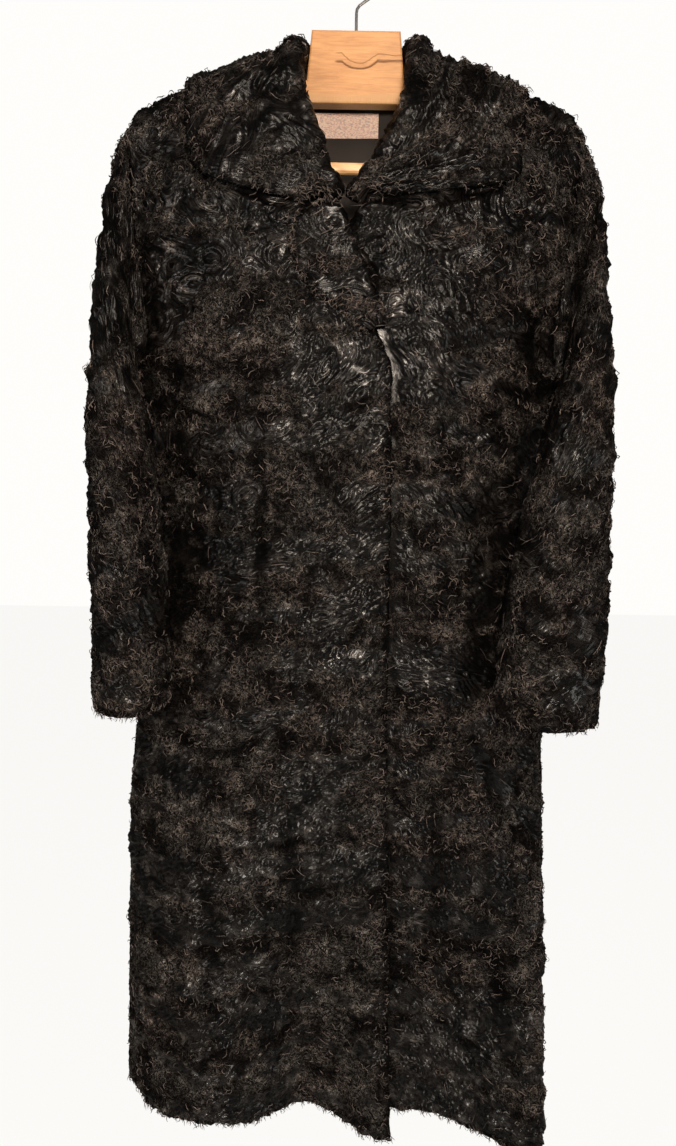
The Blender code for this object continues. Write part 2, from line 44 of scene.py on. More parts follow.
def table(names, rows):
    # one array for each named column
    return dict(zip(names.split(), np.array(rows, dtype=float).T))


def cubic(a, b, slopeA, slopeB, t):
    # Hermite curve from a to b that leaves and arrives by the two slopes
    start = (2 * t**3 - 3 * t**2 + 1) * a + (t**3 - 2 * t**2 + t) * slopeA
    end = (3 * t**2 - 2 * t**3) * b + (t**3 - t**2) * slopeB
    return start + end


def read(sizes, column, at):
    # cubic Hermite reading of a column against the table's first one
    knots = next(iter(sizes.values()))
    values = sizes[column]
    slopes = np.gradient(values, knots)
    at = np.clip(at, knots[0], knots[-1])
    i = np.clip(np.searchsorted(knots, at) - 1, 0, len(knots) - 2)
    width = knots[i + 1] - knots[i]
    t = (at - knots[i]) / width
    return cubic(values[i], values[i + 1], width * slopes[i], width * slopes[i + 1], t)


def ease(t):
    t = np.clip(t, 0.0, 1.0)
    return t * t * (3 - 2 * t)


def mix(a, b, t):
    return a + (b - a) * t


def unit(v):
    return v / np.maximum(np.linalg.norm(v, axis=-1, keepdims=True), 1e-9)


def dot(a, b):
    return np.sum(a * b, axis=-1)


def slopeAcross(grid, wrap):
    # central difference along the columns, round the ring where the grid wraps
    if wrap:
        return (np.roll(grid, -1, axis=1) - np.roll(grid, 1, axis=1)) / 2
    return np.gradient(grid, axis=1)


def facing(grid, wrap=False):
    # unit normal: the cross product of the slopes down and across the grid
    return unit(np.cross(np.gradient(grid, axis=0), slopeAcross(grid, wrap)))


def hashed(i, j, seed):
    # a whole number for each lattice point: large odd multiples, mixed by shifts
    h = (i * 374761393 + j * 668265263 + seed * 1274126177) & 0xFFFFFFFF
    h = ((h ^ (h >> 13)) * 1274126177) & 0xFFFFFFFF
    return (h ^ (h >> 16)) & 0xFFFFFFFF


def chance(i, j, seed):
    # an even random number from 0 to 1 for each lattice point
    return hashed(i, j, seed) / 4294967295.0


def noise(x, y, seed):
    # gradient noise, about -1 to 1: a random direction at each lattice corner, times the
    # distance from it, blended by a fifth-power step
    i, j = np.floor(x).astype(np.int64), np.floor(y).astype(np.int64)
    u, v = x - i, y - j
    total = np.zeros(np.shape(u))
    for a in (0, 1):
        for b in (0, 1):
            turn = chance(i + a, j + b, seed) * 2 * math.pi
            p, q = 1 - np.abs(u - a), 1 - np.abs(v - b)
            blend = (p**3 * (p * (6 * p - 15) + 10)) * (q**3 * (q * (6 * q - 15) + 10))
            total += blend * (np.cos(turn) * (u - a) + np.sin(turn) * (v - b))
    return total * 1.5


def ridged(x, y, seed):
    # thin crests: one less twice the size of the noise, squared
    return np.clip(1 - 2.2 * np.abs(noise(x, y, seed)), 0, 1) ** 2


# the coat's form, by the same sections as its solids
form = dict(
    furWall=0.006,
    turnedWall=0.0045,
    seamGap=0.0004,
    layGap=0.0028,
    shoulderRound=0.022,
    shoulderY=0.002,
    chestEase=0.09,
    lapStep=0.0086,
    lapEase=0.050,
    hemMiddle=-1.277,
    hemSlope=-0.055,
    cornerDrop=0.010,
    cornerLength=0.12,
    foldStart=-0.78,
    foldLength=0.50,
    shoulderEnd=-0.151,
    underarm=-0.415,
    neckHalf=0.060,
    neckDip=0.035,
)
bodySections = table(
    "depth wearersRight wearersLeft front back seam square",
    [
        (0.10, 0.242, 0.242, -0.068, 0.066, 0.020, 4.0),
        (0.20, 0.243, 0.243, -0.070, 0.068, 0.022, 4.0),
        (0.30, 0.240, 0.240, -0.072, 0.070, 0.026, 3.6),
        (0.38, 0.234, 0.233, -0.072, 0.071, 0.034, 3.0),
        (0.44, 0.2295, 0.2270, -0.070, 0.071, 0.044, 2.6),
        (0.60, 0.231, 0.226, -0.068, 0.071, 0.046, 2.6),
        (0.74, 0.236, 0.228, -0.066, 0.071, 0.044, 2.6),
        (0.85, 0.248, 0.235, -0.062, 0.072, 0.036, 2.8),
        (1.05, 0.255, 0.242, -0.057, 0.072, 0.032, 3.0),
        (1.32, 0.260, 0.248, -0.050, 0.072, 0.030, 3.0),
    ],
)
shoulderLine = table(
    "out height",
    [
        (0.000, -0.080),
        (0.060, -0.0975),
        (0.108, -0.112),
        (0.142, -0.122),
        (0.173, -0.131),
        (0.204, -0.1405),
        (0.222, form["shoulderEnd"]),
        (0.246, -0.172),
    ],
)
hemFolds = table(
    "place upper under",
    [
        (-1.00, 0.000, 0.000),
        (-0.93, -0.030, 0.000),
        (-0.85, -0.052, 0.000),
        (-0.73, -0.068, 0.000),
        (-0.54, -0.076, 0.000),
        (-0.35, -0.060, -0.010),
        (-0.13, -0.029, -0.018),
        (0.00, -0.042, -0.022),
        (0.12, -0.062, -0.027),
        (0.24, -0.073, -0.029),
        (0.41, -0.076, -0.030),
        (0.56, -0.076, -0.044),
        (0.77, -0.070, -0.078),
        (0.90, -0.050, -0.092),
        (0.96, -0.030, -0.078),
        (1.00, 0.000, 0.000),
    ],
)
backFolds = table(
    "place depth",
    [(-1.0, 0.0), (-0.7, 0.000), (-0.4, -0.014), (0.0, 0.000), (0.35, -0.016), (0.7, 0.000), (1.0, 0.0)],
)
frontEdges = table(
    "depth upper under",
    [
        (0.0975, -0.0600, 0.0600),
        (0.112, -0.0645, 0.0640),
        (0.142, -0.0640, 0.0610),
        (0.200, -0.0425, 0.0350),
        (0.243, -0.0270, 0.0145),
        (0.270, -0.0165, -0.0030),
        (0.320, 0.0025, -0.0270),
        (0.374, 0.0262, -0.0340),
        (0.400, 0.0370, -0.0350),
        (0.450, 0.0400, -0.0360),
        (0.750, 0.0430, -0.0360),
        (1.000, 0.0500, -0.0340),
        (1.300, 0.0600, -0.0300),
    ],
)
armhole = table(
    "depth front back",
    [
        (0.151, 0.918, 0.918),
        (0.170, 0.940, 0.944),
        (0.220, 0.948, 0.957),
        (0.300, 0.925, 0.950),
        (0.360, 0.911, 0.954),
        (0.395, 0.947, 0.977),
        (0.415, 1.000, 1.000),
        (1.400, 1.000, 1.000),
    ],
)
sleeveColumns = "row outX outDepth inX inDepth inY frontX frontY backX backY"
rightSleeve = table(
    sleeveColumns,
    [
        (1, 0.243, 0.172, 0.2345, 0.424, 0.026, 0.2350, -0.024, 0.2410, 0.060),
        (2, 0.254, 0.205, 0.2300, 0.436, 0.002, 0.2380, -0.043, 0.2490, 0.054),
        (3, 0.259, 0.262, 0.2170, 0.462, -0.022, 0.2360, -0.068, 0.2510, 0.040),
        (4, 0.263, 0.340, 0.2070, 0.500, -0.040, 0.2320, -0.088, 0.2450, 0.022),
        (5, 0.268, 0.420, 0.1985, 0.542, -0.047, 0.2330, -0.100, 0.2380, 0.010),
        (6, 0.270, 0.500, 0.1945, 0.587, -0.049, 0.2320, -0.104, 0.2330, 0.005),
        (7, 0.270, 0.570, 0.1915, 0.632, -0.050, 0.2310, -0.105, 0.2310, 0.005),
        (8, 0.269, 0.640, 0.1890, 0.680, -0.050, 0.2290, -0.105, 0.2290, 0.005),
        (9, 0.268, 0.708, 0.1880, 0.724, -0.050, 0.2280, -0.104, 0.2280, 0.004),
        (10, 0.266, 0.766, 0.1900, 0.762, -0.050, 0.2280, -0.103, 0.2280, 0.003),
    ],
)
leftSleeve = table(
    sleeveColumns,
    [
        (1, 0.243, 0.171, 0.2330, 0.424, 0.025, 0.2345, -0.026, 0.2400, 0.060),
        (2, 0.254, 0.204, 0.2270, 0.436, 0.002, 0.2360, -0.048, 0.2480, 0.053),
        (3, 0.258, 0.262, 0.2120, 0.462, -0.018, 0.2320, -0.075, 0.2500, 0.036),
        (4, 0.261, 0.340, 0.1970, 0.500, -0.046, 0.2250, -0.096, 0.2420, 0.012),
        (5, 0.266, 0.420, 0.1820, 0.542, -0.060, 0.2240, -0.106, 0.2300, -0.006),
        (6, 0.268, 0.500, 0.1740, 0.587, -0.062, 0.2210, -0.110, 0.2230, -0.013),
        (7, 0.268, 0.570, 0.1670, 0.632, -0.063, 0.2180, -0.112, 0.2180, -0.014),
        (8, 0.270, 0.640, 0.1610, 0.680, -0.063, 0.2150, -0.113, 0.2150, -0.014),
        (9, 0.271, 0.712, 0.1590, 0.728, -0.063, 0.2150, -0.112, 0.2150, -0.014),
        (10, 0.268, 0.774, 0.1600, 0.768, -0.063, 0.2140, -0.110, 0.2140, -0.014),
    ],
)
collarFold = table(
    "along x y z fallX fallZ faceX faceY faceZ stand radius aside",
    [
        (0.00, 0.0000, 0.0469, -0.080, 0.00, -1.00, 0.00, 1.00, 0.00, 0.0225, 0.0095, 0.000),
        (0.20, 0.0340, 0.0405, -0.079, 0.05, -1.00, 0.35, 0.93, 0.00, 0.0120, 0.0095, 0.000),
        (0.38, 0.0560, 0.0220, -0.077, 0.15, -0.99, 0.90, 0.42, 0.10, 0.0070, 0.0090, 0.000),
        (0.50, 0.0605, 0.0040, -0.077, 0.20, -0.98, 0.98, 0.00, 0.20, 0.0080, 0.0085, 0.000),
        (0.62, 0.0580, -0.0170, -0.092, 0.55, -0.80, 0.70, -0.65, 0.30, 0.0025, 0.0075, 0.000),
        (0.75, 0.0535, -0.0373, -0.142, 0.98, -0.20, 0.15, -0.98, 0.10, 0.0022, 0.0068, 0.001),
        (0.88, 0.0325, -0.0536, -0.200, 0.94, -0.35, 0.05, -1.00, 0.05, 0.0022, 0.0068, 0.006),
        (1.00, 0.0165, -0.0610, -0.243, 0.90, -0.40, 0.00, -1.00, 0.00, 0.0022, 0.0068, 0.0205),
    ],
)
collarEdge = table(
    "along x drop footDrop aside taut",
    [
        (0.00, 0.000, -0.155, -0.030, 0.000, 0.0),
        (0.20, 0.080, -0.122, -0.022, 0.000, 0.3),
        (0.38, 0.150, -0.051, -0.008, 0.000, 0.8),
        (0.50, 0.168, 0.000, 0.000, 0.000, 0.9),
        (0.62, 0.168, 0.030, 0.010, 0.000, 0.8),
        (0.72, 0.163, 0.072, 0.036, 0.000, 0.3),
        (0.82, 0.149, 0.107, 0.076, -0.004, 0.0),
        (0.91, 0.100, 0.137, 0.122, 0.008, 0.0),
        (1.00, 0.053, 0.163, 0.156, 0.023, 0.0),
    ],
)
lapelShape = table(
    "along foldX foldDepth edgeX edgeDepth",
    [
        (0.00, -0.0150, 0.2465, -0.0530, 0.2610),
        (0.25, -0.0030, 0.2780, -0.0610, 0.2920),
        (0.50, 0.0105, 0.3110, -0.0440, 0.3300),
        (0.75, 0.0225, 0.3400, -0.0100, 0.3560),
        (1.00, 0.0330, 0.3660, 0.0130, 0.3740),
    ],
)
lapelRoll = dict(fall=(-0.926, 0.0, -0.378), radius=0.0068, stand=0.0015, clear=0.0012)


def shoulderHeight(x):
    return read(shoulderLine, "height", np.abs(x))


def skinY(x, z, side, out=0.0, under=False):
    # front to back place of the coat's surface at (x, z): a squared arch from side seam to
    # side seam, which carries the hem's folds, closed at the top by a quarter round
    depth = -z
    right, left = read(bodySections, "wearersRight", depth), read(bodySections, "wearersLeft", depth)
    half = np.where(x < 0, right, left) + out
    seam = read(bodySections, "seam", depth)
    square = read(bodySections, "square", depth)
    middle = read(bodySections, "front" if side < 0 else "back", depth) + side * out
    share = np.clip(np.abs(x) / half, 0.0, 1.0)
    arch = (1 - share**square) ** 0.7
    flat = mix(seam, middle, arch)
    fade = ease((form["foldStart"] - z) / form["foldLength"])
    if side < 0:
        folds = read(hemFolds, "under" if under else "upper", x / half)
        if under:
            edge = read(frontEdges, "upper", depth)
            step = (1 - ease((x - edge) / form["lapEase"])) * ease((-0.20 - z) / 0.05)
            flat = flat + form["lapStep"] * step
        flat = mix(flat, seam + folds - out * arch, fade)
    else:
        flat = flat + read(backFolds, "depth", x / half) * fade
    top = form["shoulderRound"] + out
    drop = np.maximum(shoulderHeight(x) + out - z, 0.0)
    cap = np.sqrt(1 - (1 - np.minimum(drop / top, 1.0)) ** 2)
    reach = 1 - np.exp(-drop / form["chestEase"])
    return form["shoulderY"] + side * top * cap + (flat - form["shoulderY"] - side * top) * reach


def skinAt(x, drop, out):
    # the surface at a signed drop below the shoulder line, positive in front
    z = shoulderHeight(x) + out - np.abs(drop)
    y = np.where(drop > 0, skinY(x, z, -1, out), skinY(x, z, 1, out))
    return np.stack([x, y, z], axis=-1)


def sideX(z, sign, part):
    half = read(bodySections, "wearersRight" if sign < 0 else "wearersLeft", -z)
    return half * np.minimum(read(armhole, part, -z), 1.0)


def hemHeight(x):
    return form["hemMiddle"] + form["hemSlope"] * x


def frontGrid(rows, columns, under):
    # a front: x runs from its inner edge to the armhole or side seam, z from the shoulder
    # seam to the hem, and y is read from the coat's surface
    sign = 1 if under else -1
    levels = np.linspace(form["shoulderEnd"], form["hemMiddle"], rows)
    down = np.linspace(0.0, 1.0, rows)[:, None]
    over = np.linspace(0.0, 1.0, columns)[None, :]
    topX = sign * mix(form["neckHalf"], sideX(form["shoulderEnd"], sign, "front"), over)
    topZ = shoulderHeight(topX)
    edgeX = read(frontEdges, "under" if under else "upper", -mix(topZ[:, :1], form["hemMiddle"], down))
    x = mix(edgeX, sign * sideX(levels, sign, "front")[:, None], over)
    hem = hemHeight(x)
    if not under:
        hem = hem - form["cornerDrop"] * ease(1 - (edgeX - x) / form["cornerLength"])
    z = mix(topZ, hem, down)
    x[1:] = mix(edgeX, sign * sideX(z, sign, "front"), over)[1:]
    outer = np.stack([x, skinY(x, z, -1, 0.0, under), z], axis=-1)
    outer[:, :, 1] -= form["seamGap"] / 2
    return outer


def backGrid(rows, columns):
    # the back: as a front, from side seam to side seam, hollowed at the neck
    levels = np.linspace(form["shoulderEnd"], form["hemMiddle"], rows)
    down = np.linspace(0.0, 1.0, rows)[:, None]
    over = np.linspace(-1.0, 1.0, columns)[None, :]
    half = np.where(over < 0, sideX(levels, -1, "back")[:, None], sideX(levels, 1, "back")[:, None])
    x = over * half
    topZ = shoulderHeight(x[:1]) - form["neckDip"] * (1 - ease(np.abs(x[:1]) / form["neckHalf"]))
    z = mix(topZ, hemHeight(x), down)
    x[1:] = (over * np.where(over < 0, sideX(z, -1, "back"), sideX(z, 1, "back")))[1:]
    outer = np.stack([x, skinY(x, z, 1), z], axis=-1)
    outer[:, :, 1] += form["seamGap"] / 2
    return outer


def sleeveGrid(rows, columns, sizes, sign):
    # a sleeve: ring 0 is the armhole, down its front edge and up its back one; each other
    # ring is a mean point with two half diameters and a second harmonic. Between the rings
    # every point follows a cubic through its own places.
    share = np.linspace(0.0, 2.0, columns, endpoint=False)
    level = mix(form["shoulderEnd"], form["underarm"], (1 - np.abs(1 - share)) ** 1.6)
    isFront = share < 1
    loopX = np.where(isFront, sideX(level, sign, "front"), sideX(level, sign, "back"))
    loopY = np.where(isFront, skinY(sign * loopX, level, -1), skinY(sign * loopX, level, 1))
    rings = [np.stack([sign * (loopX + 2 * form["seamGap"]), loopY, level], axis=-1)]
    turn = (share * math.pi)[:, None]
    for i in range(len(sizes["row"])):
        s = {name: float(values[i]) for name, values in sizes.items()}
        middle = (s["frontY"] + s["backY"]) / 2
        depth = -(s["outDepth"] + s["inDepth"]) / 2
        out = np.array([sign * s["outX"], middle, -s["outDepth"]])
        inside = np.array([sign * s["inX"], s["inY"], -s["inDepth"]])
        front = np.array([sign * s["frontX"], s["frontY"], depth])
        back = np.array([sign * s["backX"], s["backY"], depth])
        ring = (out + inside + front + back) / 4 + np.cos(turn) * (out - inside) / 2
        ring = ring + np.sin(turn) * (front - back) / 2
        rings.append(ring + np.cos(2 * turn) * (out + inside - front - back) / 4)
    rings = np.stack(rings)
    slopes = np.gradient(rings, axis=0)
    at = np.linspace(0.0, len(rings) - 1.0, rows)
    i = np.minimum(at.astype(int), len(rings) - 2)
    t = (at - i)[:, None, None]
    return cubic(rings[i], rings[i + 1], slopes[i], slopes[i + 1], t)


def bandGrid(columns, fold, fall, face, stand, radius, reach, taut):
    # a turned-over band, column by column: the stand, half a circle round the fold, then
    # the fall, which eases from its first direction onto the panel under it and is lifted
    # by taut towards the straight line from the fold to the edge
    centre = fold + fall * radius
    points = [centre - face * radius + fall * stand]
    for angle in np.linspace(-math.pi / 2, math.pi / 2, 11):
        points.append(centre + radius * (math.sin(angle) * face - math.cos(angle) * fall))
    top = points[-1]
    length = np.linalg.norm(reach(1.0) - top, axis=-1, keepdims=True)
    for share in np.linspace(0.0, 1.0, columns - len(points) + 1)[1:]:
        free = top + fall * length * share
        point = mix(free, reach(share), ease(share / 0.5))
        spanned = np.maximum(point[:, 2], mix(top, reach(1.0), share)[:, 2])
        point[:, 2] = mix(point[:, 2], spanned, taut)
        points.append(point)
    return np.stack(points, axis=1)


def collarGrid(rows, columns):
    # the collar from front end to front end, mirrored about the middle of the back
    t = np.linspace(-1.0, 1.0, rows)
    along = np.abs(t)
    sign = np.where(t < 0, -1.0, 1.0)
    aside = np.where(t > 0, 1.0, 0.0)
    f = {name: read(collarFold, name, along) for name in collarFold}
    e = {name: read(collarEdge, name, along) for name in collarEdge}
    foldX = sign * f["x"] - aside * f["aside"]
    fold = np.stack([foldX, f["y"], f["z"]], axis=-1)
    fall = unit(np.stack([sign * f["fallX"], 0 * t, f["fallZ"]], axis=-1))
    face = np.stack([sign * f["faceX"], f["faceY"], f["faceZ"]], axis=-1)
    face = unit(face - fall * dot(face, fall)[:, None])
    edgeX = sign * e["x"] - aside * e["aside"]
    lift = form["turnedWall"] + form["layGap"]

    def reach(share):
        return skinAt(mix(foldX, edgeX, share), mix(e["footDrop"], e["drop"], share), lift)

    stand, radius = f["stand"][:, None], f["radius"][:, None]
    return bandGrid(columns, fold, fall, face, stand, radius, reach, e["taut"])


def lapelGrid(rows, columns):
    # the lapel from the collar's end down to the closing point
    along = np.linspace(0.0, 1.0, rows)
    foldX, foldZ = read(lapelShape, "foldX", along), -read(lapelShape, "foldDepth", along)
    edgeX, edgeZ = read(lapelShape, "edgeX", along), -read(lapelShape, "edgeDepth", along)
    fall = np.broadcast_to(unit(np.array(lapelRoll["fall"])), (rows, 3))
    face = np.broadcast_to((0.0, -1.0, 0.0), (rows, 3))
    foldY = skinY(foldX - lapelRoll["radius"], foldZ, -1) - lapelRoll["clear"]
    fold = np.stack([foldX, foldY, foldZ], axis=-1)
    lift = form["turnedWall"] + form["layGap"]

    def reach(share):
        x, z = mix(foldX, edgeX, share), mix(foldZ, edgeZ, share)
        return np.stack([x, skinY(x, z, -1, lift), z], axis=-1)

    return bandGrid(columns, fold, fall, face, lapelRoll["stand"], lapelRoll["radius"], reach, 0.0)


# The coat is pieced from small pelts in level rows. Each pelt has its own hair direction,
# and some are smooth and glossy while others are covered in tight curls.
pelts = dict(
    rowHeight=0.060,
    pieceWidth=0.088,
    curlyShare=0.52,
    curlyEdge=0.16,
    turnSpread=2.2,
    turnDrift=0.9,
    seamDip=0.0012,
    seamWidth=0.0036,
)
relief = dict(
    lump=0.0044,  # soft lumps, a few centimetres across
    lumpSize=0.050,
    wave=0.0034,  # combed waves on the smooth pelts
    waveLength=0.038,
    waveWidth=0.0115,
    shortLength=0.021,
    shortWidth=0.0056,
    bend=0.0060,  # how far the hair wanders from its line
    bendSize=0.021,
    curl=0.0022,  # crests of the tight curls
    curlFloor=0.0008,
    curlSize=0.0105,
    fine=0.0011,
    fineSize=0.0062,
)


def furRelief(across, down, seed, creases=()):
    # height over the skin, worked out on (across, down) in metres:
    # lumps + mix(combed waves, ridged curls, how curly the pelt is) - dips at the pelts' seams
    # and at the listed creases
    def soft(width, height, n):
        return noise(across / width, down / height, seed + n)

    wobble = 0.30 * soft(0.075, 0.05, 1)
    wobble = wobble + 0.12 * soft(0.022, 0.03, 19)
    rowAt = down / pelts["rowHeight"] + wobble
    row = np.floor(rowAt).astype(np.int64)
    width = pelts["pieceWidth"] * (0.65 + 0.8 * chance(row, 0, seed + 2))
    columnAt = across / width + 9 * chance(row, 1, seed + 3)
    columnAt = columnAt + 0.25 * soft(0.04, 0.03, 4)
    column = np.floor(columnAt).astype(np.int64)
    toRow = np.minimum(rowAt - row, 1 - (rowAt - row)) * pelts["rowHeight"]
    toColumn = np.minimum(columnAt - column, 1 - (columnAt - column)) * width
    seam = np.exp(-((toRow / pelts["seamWidth"]) ** 2))
    seam = seam + 0.6 * np.exp(-((toColumn / pelts["seamWidth"]) ** 2))

    band = 1 - np.abs(2 * (rowAt - row) - 1)  # 0 at a row's edges and 1 along its middle
    bent = soft(0.034, 0.022, 5)
    tight = 0.75 * chance(row, column, seed + 6) + 0.12 - 0.60 * (band - 0.5) + 0.42 * bent
    curly = ease((tight - (1 - pelts["curlyShare"])) / pelts["curlyEdge"] + 0.5)

    turn = (chance(row, column, seed + 7) - 0.5) * pelts["turnSpread"]
    turn = turn + pelts["turnDrift"] * soft(0.06, 0.045, 8)
    bend, size = relief["bend"], relief["bendSize"]
    x, y = across + bend * soft(size, size, 9), down + bend * soft(size, size, 10)
    along = x * np.cos(turn) + y * np.sin(turn)
    beside = y * np.cos(turn) - x * np.sin(turn)

    size = relief["lumpSize"]
    lumps = soft(size, 0.62 * size, 11) + 0.55 * soft(0.5 * size, 0.36 * size, 12)
    waves = noise(along / relief["waveLength"], beside / relief["waveWidth"], seed + 13)
    short = noise(along / relief["shortLength"], beside / relief["shortWidth"], seed + 14)
    waves = waves + 0.45 * short
    crests = ridged(x / relief["curlSize"], y / (0.8 * relief["curlSize"]), seed + 15)
    tiny = ridged(x / relief["fineSize"], y / relief["fineSize"], seed + 16)
    curls = relief["curl"] * crests + relief["fine"] * tiny - relief["curlFloor"]
    height = relief["lump"] * lumps + mix(relief["wave"] * waves, curls, curly)
    height -= pelts["seamDip"] * seam * (0.5 + 0.5 * chance(row, column, seed + 17))
    # painted shade: darker in the pelts' seams, in the troughs of the smooth pelts' waves and between the curls'
    # crests
    hollow = 0.3 * seam + 0.35 * ease(-waves) * (1 - curly)
    hollow = hollow + 0.6 * (1 - np.maximum(crests, tiny)) * curly
    for crease in creases:
        gap, share = awayFrom(crease["path"], across, down)
        fade = np.sin(math.pi * np.clip(share, 0.03, 0.97)) ** 0.5
        dent = np.exp(-((gap / crease["width"]) ** 2)) * fade
        height -= crease["depth"] * dent
        # and more painted shade in the creases' dents
        if crease["depth"] > 0:
            hollow = hollow + 0.8 * dent
    return dict(
        height=height,
        curly=curly,
        hollow=np.clip(hollow, 0, 1),
        along=along,
        beside=beside,
        turn=turn,
        piece=chance(row, column, seed + 18),
    )


def awayFrom(path, x, y):
    # distance to a chain of straight pieces, and how far along the chain the nearest point is
    path = np.array(path, float)
    best, share = np.full(np.shape(x), 9.0), np.zeros(np.shape(x))
    for k, (a, b) in enumerate(zip(path[:-1], path[1:])):
        d = b - a
        t = np.clip(((x - a[0]) * d[0] + (y - a[1]) * d[1]) / (d @ d), 0, 1)
        gap = np.hypot(x - a[0] - t * d[0], y - a[1] - t * d[1])
        near = gap < best
        best = np.where(near, gap, best)
        share = np.where(near, (k + t) / (len(path) - 1), share)
    return best, share


def lengthAlong(grid, axis):
    # running length from the first point along one axis of a grid
    steps = np.linalg.norm(np.diff(grid, axis=axis), axis=-1)
    start = np.zeros_like(np.take(steps, [0], axis=axis))
    return np.concatenate([start, np.cumsum(steps, axis=axis)], axis=axis)


def gridFaces(rows, columns, first, wrap, flip):
    # two triangles for each cell of a grid whose points are numbered row by row
    last = columns if wrap else columns - 1
    i, j = np.meshgrid(np.arange(rows - 1), np.arange(last), indexing="ij")
    k = (j + 1) % columns
    a, b = first + i * columns + j, first + i * columns + k
    c, d = first + (i + 1) * columns + k, first + (i + 1) * columns + j
    faces = np.stack([np.stack([a, b, c], -1), np.stack([a, c, d], -1)], axis=2).reshape(-1, 3)
    return faces[:, ::-1] if flip else faces


def zipFaces(fine, coarse, ratio, flip):
    # a strip between a fine rim and one with ratio times fewer points: each fine edge meets
    # its nearest coarse point, and each coarse edge the fine point half way along it
    i = np.arange(len(fine) - 1)
    near = np.minimum((i + ratio // 2) // ratio, len(coarse) - 1)
    fans = np.stack([fine[i], fine[i + 1], coarse[near]], axis=-1)
    j = np.arange(len(coarse) - 1)
    middle = fine[j * ratio + (ratio + 1) // 2]
    gaps = np.stack([coarse[j + 1], coarse[j], middle], axis=-1)
    faces = np.concatenate([fans, gaps])
    return faces[:, ::-1] if flip else faces


def buildShell(name, outer, inner, ratio, wrap, paints, values):
    # one closed body: the outer grid, the inner grid, and strips that join their rims.
    # values holds what the finish reads at each outer point.
    rows, columns = outer.shape[:2]
    inRows, inColumns = inner.shape[:2]
    first = rows * columns
    o = np.arange(first).reshape(rows, columns)
    n = first + np.arange(inRows * inColumns).reshape(inRows, inColumns)
    if wrap:
        o, n = np.hstack([o, o[:, :1]]), np.hstack([n, n[:, :1]])
    parts = [gridFaces(rows, columns, 0, wrap, False), gridFaces(inRows, inColumns, first, wrap, True)]
    parts.append(zipFaces(o[0], n[0], ratio, True))
    parts.append(zipFaces(o[-1], n[-1], ratio, False))
    if not wrap:
        parts.append(zipFaces(o[:, 0], n[:, 0], ratio, False))
        parts.append(zipFaces(o[:, -1], n[:, -1], ratio, True))
    faces = np.concatenate(parts)
    points = np.concatenate([outer.reshape(-1, 3), inner.reshape(-1, 3)])
    a, b, c = (points[faces[:, k]] for k in range(3))
    if np.sum(a * np.cross(b, c)) < 0:  # the enclosed volume is negative when inside out
        faces = faces[:, ::-1]
    slots = np.zeros(len(faces), np.int32)
    slots[len(parts[0]) : len(parts[0]) + len(parts[1])] = 1
    spare = len(points) - first
    filled = {}
    for key, value in values.items():
        flat = np.reshape(value, (first, -1))
        filled[key] = np.concatenate([flat, np.zeros((spare, flat.shape[1]))])
    return addMesh(name, points, faces, paints, slots, filled)


def addMesh(name, points, faces, paints, slots=None, values=None):
    mesh = bpy.data.meshes.new(name)
    mesh.vertices.add(len(points))
    mesh.vertices.foreach_set("co", np.ascontiguousarray(points, np.float32).ravel())
    mesh.loops.add(faces.size)
    mesh.loops.foreach_set("vertex_index", np.ascontiguousarray(faces, np.int32).ravel())
    mesh.polygons.add(len(faces))
    mesh.polygons.foreach_set("loop_start", np.arange(0, faces.size, faces.shape[1], dtype=np.int32))
    mesh.update(calc_edges=True)
    if mesh.validate():
        raise ValueError(name + " has faces that Blender had to drop")
    for key, value in (values or {}).items():
        layer = mesh.attributes.new(key, "FLOAT", "POINT")
        layer.data.foreach_set("value", np.ascontiguousarray(value, np.float32).ravel())
    for paint in paints:
        mesh.materials.append(paint)
    if slots is not None:
        mesh.polygons.foreach_set("material_index", slots)
    mesh.shade_smooth()
    thing = bpy.data.objects.new(name, mesh)
    bpy.context.scene.collection.objects.link(thing)
    return thing


class Wire:
    # a shader socket that can be used in sums; each sign adds its Math node
    def __init__(self, paint, socket):
        self.paint, self.socket = paint, socket

    def math(self, operation, a, b=0.0):
        return self.paint.node("Math", dict(operation=operation), {0: a, 1: b})

    def __add__(self, other):
        return self.math("ADD", self, other)

    def __sub__(self, other):
        return self.math("SUBTRACT", self, other)

    def __rsub__(self, other):
        return self.math("SUBTRACT", other, self)

    def __mul__(self, other):
        return self.math("MULTIPLY", self, other)

    def __pow__(self, other):
        return self.math("POWER", self, other)

    def __abs__(self):
        return self.math("ABSOLUTE", self)

    def clipped(self):
        return self.paint.node("Clamp", {}, {0: self})

    __radd__ = __add__
    __rmul__ = __mul__


